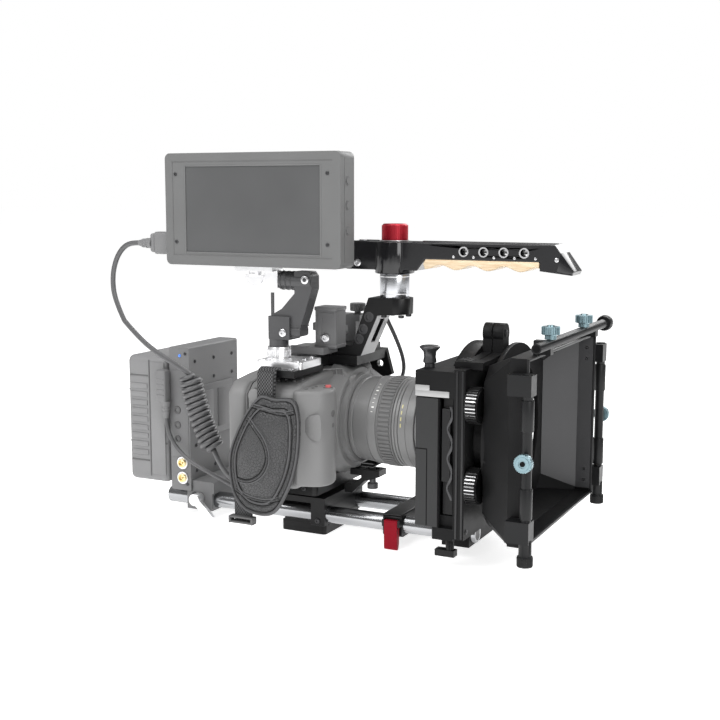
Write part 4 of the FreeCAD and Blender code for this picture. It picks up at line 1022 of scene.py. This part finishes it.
def addHandle():
    dress("handle_post", "post", 0.3)
    dress("handle_body", "glossBlack", 0.9)
    side, post, level = handle["side"], handle["post"], handle["threadLevel"]
    rear, steps = handle["gripRear"], handle["steps"]
    bm = bmesh.new()
    top = [(211, 249.9), (110.5, 249.9), (108.2, 246)]
    swells = []
    for i in range(steps + 1):
        swell = handle["wave"] * math.cos(fullTurn * handle["waves"] * i / steps)
        swells.append((rear + i * (handle["gripFront"] - rear) / steps, handle["gripLow"] - swell))
    slab(bm, "xz", top + swells + [(210.8, 244.5)], -handle["gripSide"], handle["gripSide"], 1.3, 3, 50)
    make("gripWood", bm, "wood", "handle", ["handle_grip"], 50)
    bm = bmesh.new()
    for i in range(4):
        x = handle["threadFirst"] + handle["threadPitch"] * i
        for out in (-1, 1):
            face = out * side
            lathe(bm, "y", [(face + out * 0.25, 3.2), (face + out * 0.25, 4.3), (face - out * 0.3, 4.6),
                            (face - out * 0.6, 3.2)], (x, level), 30)
    for x in handle["pins"]:
        screw(bm, "y", 1.1, -side, (x, 252.6), -1, 0.4)
    make("handleThreadRims", bm, "steel", "handle")
    bm = bmesh.new()
    for out in (-1, 1):
        screw(bm, "y", 3.2, out * side, (46, 245.5), out, 1.2)
    screw(bm, "z", 2.6, handle["top"], (46, 0), 1, 1.0)
    screw(bm, "y", 1.8, -side, (226, 252), -1, 0.6)
    make("handleScrews", bm, "steel", "handle")
    bm = bmesh.new()
    # long bevelled top edges and the end bumper
    for y in (-11.4, 11.4):
        for start, end in ((98, 220), (36, 56)):
            block(bm, (start, y - 0.9, 263.7), (end, y + 0.9, 264.75), 0.35)
    slab(bm, "xz", [(226, 242.5), (238.5, 240.2), (240.2, 242.6), (229, 258)], -12.9, 12.9, 0.6)
    make("handleTrim", bm, "glossBlack", "handle")
    bm = bmesh.new()
    wheel(bm, "z", 11.6, 11.2, 44, 265.6, 278.2, post, 0.2)
    lathe(bm, "z", [(278.0, 0), (278.0, 10.9), (278.9, 10.6), (279.5, 9.8), (279.5, 3.2), (278.8, 3.0),
                    (278.8, 0)], post, 60)
    lathe(bm, "z", [(264.8, 4.2), (264.8, 12.0), (265.4, 12.0), (265.4, 4.2)], post, 60)
    make("lockKnob", bm, "red", "lock_knob", ["red_lock_knob"], 20)
    bm = bmesh.new()
    lathe(bm, "z", [(264.7, 10), (264.7, 12.6), (265.3, 12.6), (265.3, 10)], post, 60)
    make("knobWasher", bm, "bright", "lock_knob")
    bm = bmesh.new()
    for z in handle["postRings"]:
        lathe(bm, "z", [(z, 12), (z, 13.25), (z + 0.8, 13.25), (z + 0.8, 12)], post, 60)
    make("postRings", bm, "bright")
    print("handle ready")


# --- monitor, its arm and base ---

def addMonitor():
    for node, finish in dict(arm_base="bright", arm_link="arm", monitor_mount="bright", thumb_screw="bright",
                             monitor_screen="screen", monitor_button_1="bezel", monitor_button_2="bezel",
                             monitor_button_3="bezel").items():
        dress(node, finish)
    dress("monitor_case", "bezel", 1.0)
    low, high = boxOf("monitor_case")
    screenLow, screenHigh = boxOf("monitor_screen")
    bm = bmesh.new()
    # the front's inner border: a thin raised line along three sides
    left, right, foot, head = low.x + 7.5, high.x - 8, low.z + 8.5, high.z - 7
    y0, y1 = low.y - 0.25, low.y + 0.6
    for x0, z0, x1, z1 in ((left, foot, right, foot + 0.7), (left, head - 0.7, right, head),
                           (left, foot, left + 0.7, head)):
        block(bm, (x0, y0, z0), (x1, y1, z1), 0.15)
    make("bezelGroove", bm, "cameraDark", "monitor")
    bm = bmesh.new()
    rim = 1.4
    for x0, x1, z0, z1 in ((screenLow.x - rim, screenLow.x, screenLow.z - rim, screenHigh.z + rim),
                           (screenHigh.x, screenHigh.x + rim, screenLow.z - rim, screenHigh.z + rim),
                           (screenLow.x, screenHigh.x, screenLow.z - rim, screenLow.z),
                           (screenLow.x, screenHigh.x, screenHigh.z, screenHigh.z + rim)):
        block(bm, (x0, low.y - 0.3, z0), (x1, low.y + 1.6, z1), 0.3)
    make("screenSurround", bm, "bezel", "monitor")
    bm = bmesh.new()
    for x in (low.x + 11, high.x - 12):
        for z in (low.z + 20, high.z - 18):
            screw(bm, "y", 1.7, low.y, (x, z), -1, 0.5)
    for x in (-95, -40, 15, 50):
        for z in (255, 328):
            screw(bm, "y", 2.0, high.y, (x, z), 1, 0.6)
    make("bezelScrews", bm, "darkSteel", "monitor")
    bm = bmesh.new()
    for z in (316, 296, 275):
        lathe(bm, "x", [(high.x - 0.2, 3.05), (high.x + 0.35, 3.05), (high.x + 0.35, 3.9),
                        (high.x - 0.2, 4.3)],
              (-67, z), 30)
    make("buttonRims", bm, "cameraDark", "monitor")
    bm = bmesh.new()
    for i in range(12):
        block(bm, (-92 + i * 12, high.y - 0.4, 268), (-86 + i * 12, high.y + 0.7, 316), 0.4)
    block(bm, (-60, high.y - 0.3, 246), (14, high.y + 1.6, 258), 0.8)
    make("caseRibs", bm, "bezel", "monitor")
    bm = bmesh.new()
    # seam line round the case's side, just behind the front
    for z in (low.z - 0.15, high.z - 0.45):
        block(bm, (low.x + 5, low.y + 7, z), (high.x - 5, low.y + 7.8, z + 0.6), 0)
    block(bm, (high.x - 0.45, low.y + 7, low.z + 5), (high.x + 0.15, low.y + 7.8, high.z - 5), 0)
    make("caseSeam", bm, "cameraDark", "monitor")
    bm = bmesh.new()
    screw(bm, "y", 3.6, -67, (23, 233), -1, 1.4)
    screw(bm, "y", 3.4, -69.5, (2.5, 187), -1, 1.4)
    make("armScrews", bm, "steel", "arm")
    bm = bmesh.new()
    block(bm, (8.4, -68, 184.6), (18.2, -52, 191), 0.8, 3)
    block(bm, (8.4, -67.6, 192.2), (19.0, -52.4, 193.2), 0.3)
    for x in (-2.0, 3.0, 8.0):
        lathe(bm, "x", [(x, 6), (x, 8.35), (x + 1, 8.35), (x + 1, 6)], (-60, 231.5), 40)
    make("armTrim", bm, "arm", "arm")
    bm = bmesh.new()
    wheel(bm, "z", 10.4, 9.9, 40, 165.5, 171.6, (-7, -60), 0.2)
    block(bm, (-15, -80, 163.6), (-9, -47, 164.8), 0.5)
    make("armBaseRing", bm, "bright")
    print("monitor ready")


# --- battery end ---

def addBattery():
    dress("battery_plate", "boxGrey", 0.6)
    low, high = boxOf("battery_pack")
    bm = bmesh.new()
    block(bm, (low.x + 0.5, low.y + 0.5, low.z + 0.5), (high.x - 0.3, high.y - 0.5, high.z - 0.5), 6, 4)
    # stepped ribs down the near and far faces, and the end's moulded panels
    for inner, outer in ((-42, -41.6), (41.6, 42)):
        for i in range(9):
            z = 58 + i * 8
            block(bm, (low.x + 5, inner - 0.3, z), (low.x + 24, outer + 0.3, z + 5), 0.35)
        block(bm, (low.x + 28, inner - 0.25, 40), (high.x - 3, outer + 0.25, 148), 0.35)
    for i in range(4):
        block(bm, (low.x, -32 + i * 17, 44), (low.x + 1.2, -20 + i * 17, 142), 0.5)
    make("batteryPack", bm, "battery", "battery", ["battery_pack"], 40)
    bm = bmesh.new()
    for side in (-1, 1):
        y = side * 41.7
        for z in (52, 134):
            block(bm, (low.x + 4, y - 0.3, z), (low.x + 25, y + 0.3, z + 1.2), 0.1)
        block(bm, (low.x + 26, y - 0.32, 38), (low.x + 26.9, y + 0.32, 150), 0.1)
    for z in (70, 120):
        block(bm, (low.x + 2, -41, z), (high.x - 1, -40.7, z + 0.8), 0)
    make("batterySeams", bm, "cameraDark", "battery")
    addBoxDetails()


box = dict(
    face=-41.8, jackX=-127.5, socketX=-123, lamp=(-124, 156), sockets=(54.3, 40),
    # level and radius of each jack
    jacks=((104.5, 3.4), (90.2, 3.2), (77, 2.8)),
)


def addBoxDetails():
    front, face = boxOf("battery_plate")[1].x, box["face"]
    bm = bmesh.new()
    for z, radius in box["jacks"]:
        lathe(bm, "y", [(face, radius * 0.55), (-43.2, radius * 0.6), (-43.4, radius), (-42.9, radius + 0.5),
                        (face, radius + 0.6)], (box["jackX"], z), 30)
    make("boxJacks", bm, "cameraDark")
    bm = bmesh.new()
    for z in box["sockets"]:
        lathe(bm, "y", [(face, 0), (face, 4.2), (-44.4, 4.2), (-44.8, 3.8), (-44.8, 3.0), (-42.8, 2.9),
                        (-42.8, 0.9), (-44.4, 0.7), (-44.4, 0)], (box["socketX"], z), 30)
    make("boxSockets", bm, "brass")
    bm = bmesh.new()
    for z in box["sockets"]:
        lathe(bm, "y", [(face, 4.2), (-43, 4.2), (-43, 5.8), (-42.4, 6.1), (face, 6.1)],
              (box["socketX"], z), 36)
    make("socketRims", bm, "steel")
    bm = bmesh.new()
    lathe(bm, "y", [(face, 0), (face, 1.5), (-42.7, 1.4), (-43.0, 0.8), (-43.0, 0)], box["lamp"], 20)
    make("boxLamp", bm, "lamp")
    bm = bmesh.new()
    for y in (-32, 32, 0):
        for z in (150, 132, 70, 46):
            screw(bm, "x", 1.8, front, (y, z), 1, 0.6)
    for z in (158, 34):
        screw(bm, "y", 1.5, -42, (-118, z), -1, 0.5)
    make("boxScrews", bm, "darkSteel")
    bm = bmesh.new()
    block(bm, (front - 0.4, -30, 76), (front + 1.4, 30, 126), 0.7)
    for y in (-24, 4):
        block(bm, (front - 0.2, y, 82), (front + 2.0, y + 20, 120), 0.6)
    block(bm, (-134.5, -42.5, 60), (-115.5, -41.8, 142), 0.3)
    make("boxPanels", bm, "boxGrey")
    print("battery ready")


# --- matte box ---

gear = dict(side=-70, teeth=30, levels=dict(Upper=138, Lower=72))
spring = dict(x=160.3, top=137, drop=2.4, reach=1.9, step=0.62, count=33)


def addMatteBox():
    for node, finish in dict(matte_stage="matteBlack", tray_door="door", matte_front_frame="matteBlack",
                             filter_tray_rear="black", filter_tray_front="black",
                             matte_bottom_lever="black").items():
        dress(node, finish, 0.5)
    bm = bmesh.new()
    block(bm, (131.2, -80.6, 144), (160.6, -79.6, 149), 0.3)
    block(bm, (131.2, -80.6, 148.6), (143.6, -79.6, 153.2), 0.3)
    make("stageStrip", bm, "stripAlloy")
    bm = bmesh.new()
    block(bm, (131.6, -80.25, 100.4), (141.8, -79.9, 101.2), 0)
    block(bm, (141.2, -80.25, 37), (141.8, -79.9, 101), 0)
    block(bm, (151.0, -80.3, 37), (151.9, -79.9, 143), 0.1)
    make("doorLines", bm, "deep", "door")
    bm = bmesh.new()
    swing, near, far = [i * spring["step"] for i in range(spring["count"])], [], []
    for i, a in enumerate(swing):
        z = spring["top"] - i * spring["drop"]
        x = spring["x"] + spring["reach"] * math.sin(a)
        near.append((x, z))
        far.append((x + 1.2 + 1.3 * math.cos(a) ** 2, z))
    slab(bm, "xz", near + far[::-1], -79.4, -78.6, 0.15)
    make("traySpring", bm, "darkSteel", "tray")
    bm = bmesh.new()
    for x in (166.4, 171.2):
        block(bm, (x, -80.7, 29), (x + 1.8, -79.8, 166), 0.3)
    make("frameGrooves", bm, "door")
    bm = bmesh.new()
    block(bm, (159.5, -64, 165.5), (172, -48, 172.5), 0.6)
    slab(bm, "yz", [(-62, 167), (-20, 167), (-20, 172), (-46, 170.4), (-62, 170)], 174, 183.6, 0.5)
    make("hingeFoot", bm, "matteBlack")
    bm = bmesh.new()
    for y in (-60, -52):
        screw(bm, "z", 1.8, 172.5, (166, y), 1, 0.8)
    screw(bm, "x", 3.2, 183.5, (-11, 190), 1, 0.6)
    for y, z in ((74, 160), (74, 34), (-74, 34), (0, 171)):
        screw(bm, "x", 2.0, 174, (y, z), 1, 0.7)
    make("frameScrews", bm, "darkSteel")
    teeth, side = gear["teeth"], gear["side"]
    for spot, level in gear["levels"].items():
        bm = bmesh.new()
        wheel(bm, "x", 15, 13.7, teeth, 174.8, 184.4, (side, level), 0.25, 0.62)
        lathe(bm, "x", [(174.3, 3.1), (174.3, 13.4), (185, 13.2), (185, 8.5), (184, 8), (184, 3.1)],
              (side, level), 60)
        make("gearKnob" + spot, bm, "black", "gear_" + spot.lower(), ["gear_knob_" + spot.lower()],
             25)
        bm = bmesh.new()
        for i in range(teeth):
            angle = fullTurn * (i + 0.75) / teeth
            turn = Matrix.Translation((0, side, level)) @ Matrix.Rotation(angle, 4, "X")
            block(bm, (175.4, -0.45, 13.2), (183.8, 0.45, 14.0), 0, 1, turn)
        make("gearLines" + spot, bm, "steel", "gear_" + spot.lower(), ())
    bm = bmesh.new()
    lathe(bm, "z", [(165.3, 0), (165.3, 4.4), (166.4, 4.4), (168.6, 4.2), (169, 5.4), (170, 5.6), (174, 4.9),
                    (178, 5.4), (180.4, 7.6), (181.4, 8.6), (182.2, 8.5), (183, 7), (183.5, 3), (183.5, 0)],
          (136, -62), 48)
    make("topLockKnob", bm, "darkSteel", "top_lock", ["top_lock_knob"], 60)
    addHood()


hoodShape = dict(
    sheet=0.5,
    # place along the lens axis, half width, foot and head of each sheet of painted light
    paintedLightSpans=((190.4, 72, 53, 157), (216.6, 94.4, 38.6, 177.6), (229.6, 94.4, 38.6, 177.6)),
)


def addHood():
    dress("hood", "matteBlack", 0.35)
    dress("flag_rails", "rail", 0.4)
    bm = bmesh.new()
    # painted light: thin sheets on the inner faces of the flared sides, painted lighter than the black
    # outside where light falls on them
    for side in (-1, 1):
        rings = []
        for x, y, foot, head in hoodShape["paintedLightSpans"]:
            inner = y - hoodShape["sheet"]
            rings.append([(x, side * y, foot), (x, side * y, head), (x, side * inner, head),
                          (x, side * inner, foot)])
        bridged(bm, rings)
    make("hoodPaintedLightSheets", bm, "paintedLightSheet")
    bm = bmesh.new()
    for side in (-1, 1):
        y = side * 97.3
        for z in (44, 50, 160, 166):
            screw(bm, "y", 1.3, y - side * 0.2, (222, z), side, 0.5)
        for z in (158, 168, 46, 56):
            screw(bm, "y", 1.6, side * 94.6, (224, z), -side, 0.7)
    make("hoodScrews", bm, "steel")
    bm = bmesh.new()
    # folded lip round the hood's mouth
    for z0, z1 in ((34.2, 36.4), (179.6, 181.8)):
        block(bm, (228.6, -96.8, z0), (231.6, 96.8, z1), 0.4)
    for y0, y1 in ((-96.9, -94.6), (94.6, 96.9)):
        block(bm, (228.6, y0, 34.4), (231.6, y1, 181.6), 0.4)
    make("hoodLip", bm, "door")
    addRails()


rails = dict(top=(237, 190), topKnobs=(-61, 34), side=(234, 105), sideY=105, sideEnd=109)


def addRails():
    x, topLevel = rails["top"]
    bm = bmesh.new()
    for y in rails["topKnobs"]:
        wheel(bm, "z", 7.3, 6.7, 26, 197.2, 203.6, (x, y), 0.25)
        lathe(bm, "z", [(193.6, 0), (193.6, 4.8), (196.4, 4.6), (197.4, 5.6), (197.4, 0)], (x, y), 36)
        lathe(bm, "z", [(203.4, 0), (203.4, 3.2), (204.6, 2.8), (204.6, 0)], (x, y), 24)
    for side in (-1, 1):
        start = side * rails["sideEnd"]
        ends = sorted((start + side * 1.2, start + side * 6.5))
        wheel(bm, "y", 7.3, 6.8, 26, *ends, rails["side"], 0.25)
        lathe(bm, "y", [(start, 0), (start, 5.4), (start + side * 1.6, 5.4), (start + side * 1.6, 0)],
              rails["side"], 36)
        lathe(bm, "y", [(start + side * 6.3, 5.6), (start + side * 7, 5.2), (start + side * 7, 3.2),
                        (start + side * 6, 3.0), (start + side * 6, 5.6)], rails["side"], 36)
    make("railKnobs", bm, "blueSilver", "rig", ["rail_knobs"], 25)
    bm = bmesh.new()
    wheel(bm, "y", 7.0, 6.4, 26, 101, 107.6, rails["top"], 0.3)
    for side in (-1, 1):
        centre = (rails["side"][0], side * rails["sideY"])
        wheel(bm, "z", 6.3, 5.8, 28, 23.4, 30.4, centre, 0.3)
        for low in (60, 128):
            bar(bm, "z", 4.9, low, low + 24, centre, soft=0.4)
    make("railEnds", bm, "rail")
    bm = bmesh.new()
    lathe(bm, "y", [(-97.4, 0), (-97.4, 2.8), (-96.6, 3.0), (-96.6, 0)], (x, topLevel), 24)
    for side in (-1, 1):
        bar(bm, "y", 2.0, *sorted((side * 115.4, side * 116.6)), rails["side"], soft=0.3, sides=20)
    make("railPlugs", bm, "deep")
    print("matte box ready")


def addFloor():
    bm = bmesh.new()
    bmesh.ops.create_grid(bm, x_segments=1, y_segments=1, size=room["floorSize"] / 2)
    bmesh.ops.translate(bm, vec=(0, 0, -0.02), verts=bm.verts)
    bmesh.ops.scale(bm, vec=(mm, mm, mm), verts=bm.verts)
    mesh = bpy.data.meshes.new("floor")
    bm.to_mesh(mesh)
    bm.free()
    floor = link("floor", mesh, "floor")
    shader = finishes["floor"].node_tree.nodes["Principled BSDF"]
    shader.inputs["Emission Color"].default_value = (1, 1, 1, 1)
    shader.inputs["Emission Strength"].default_value = room["floorGlow"]


setUpRoom()
addFloor()
addCords()
addBase()
addCamera()
addLens()
addStrap()
addCage()
addHandle()
addMonitor()
addBattery()
addMatteBox()
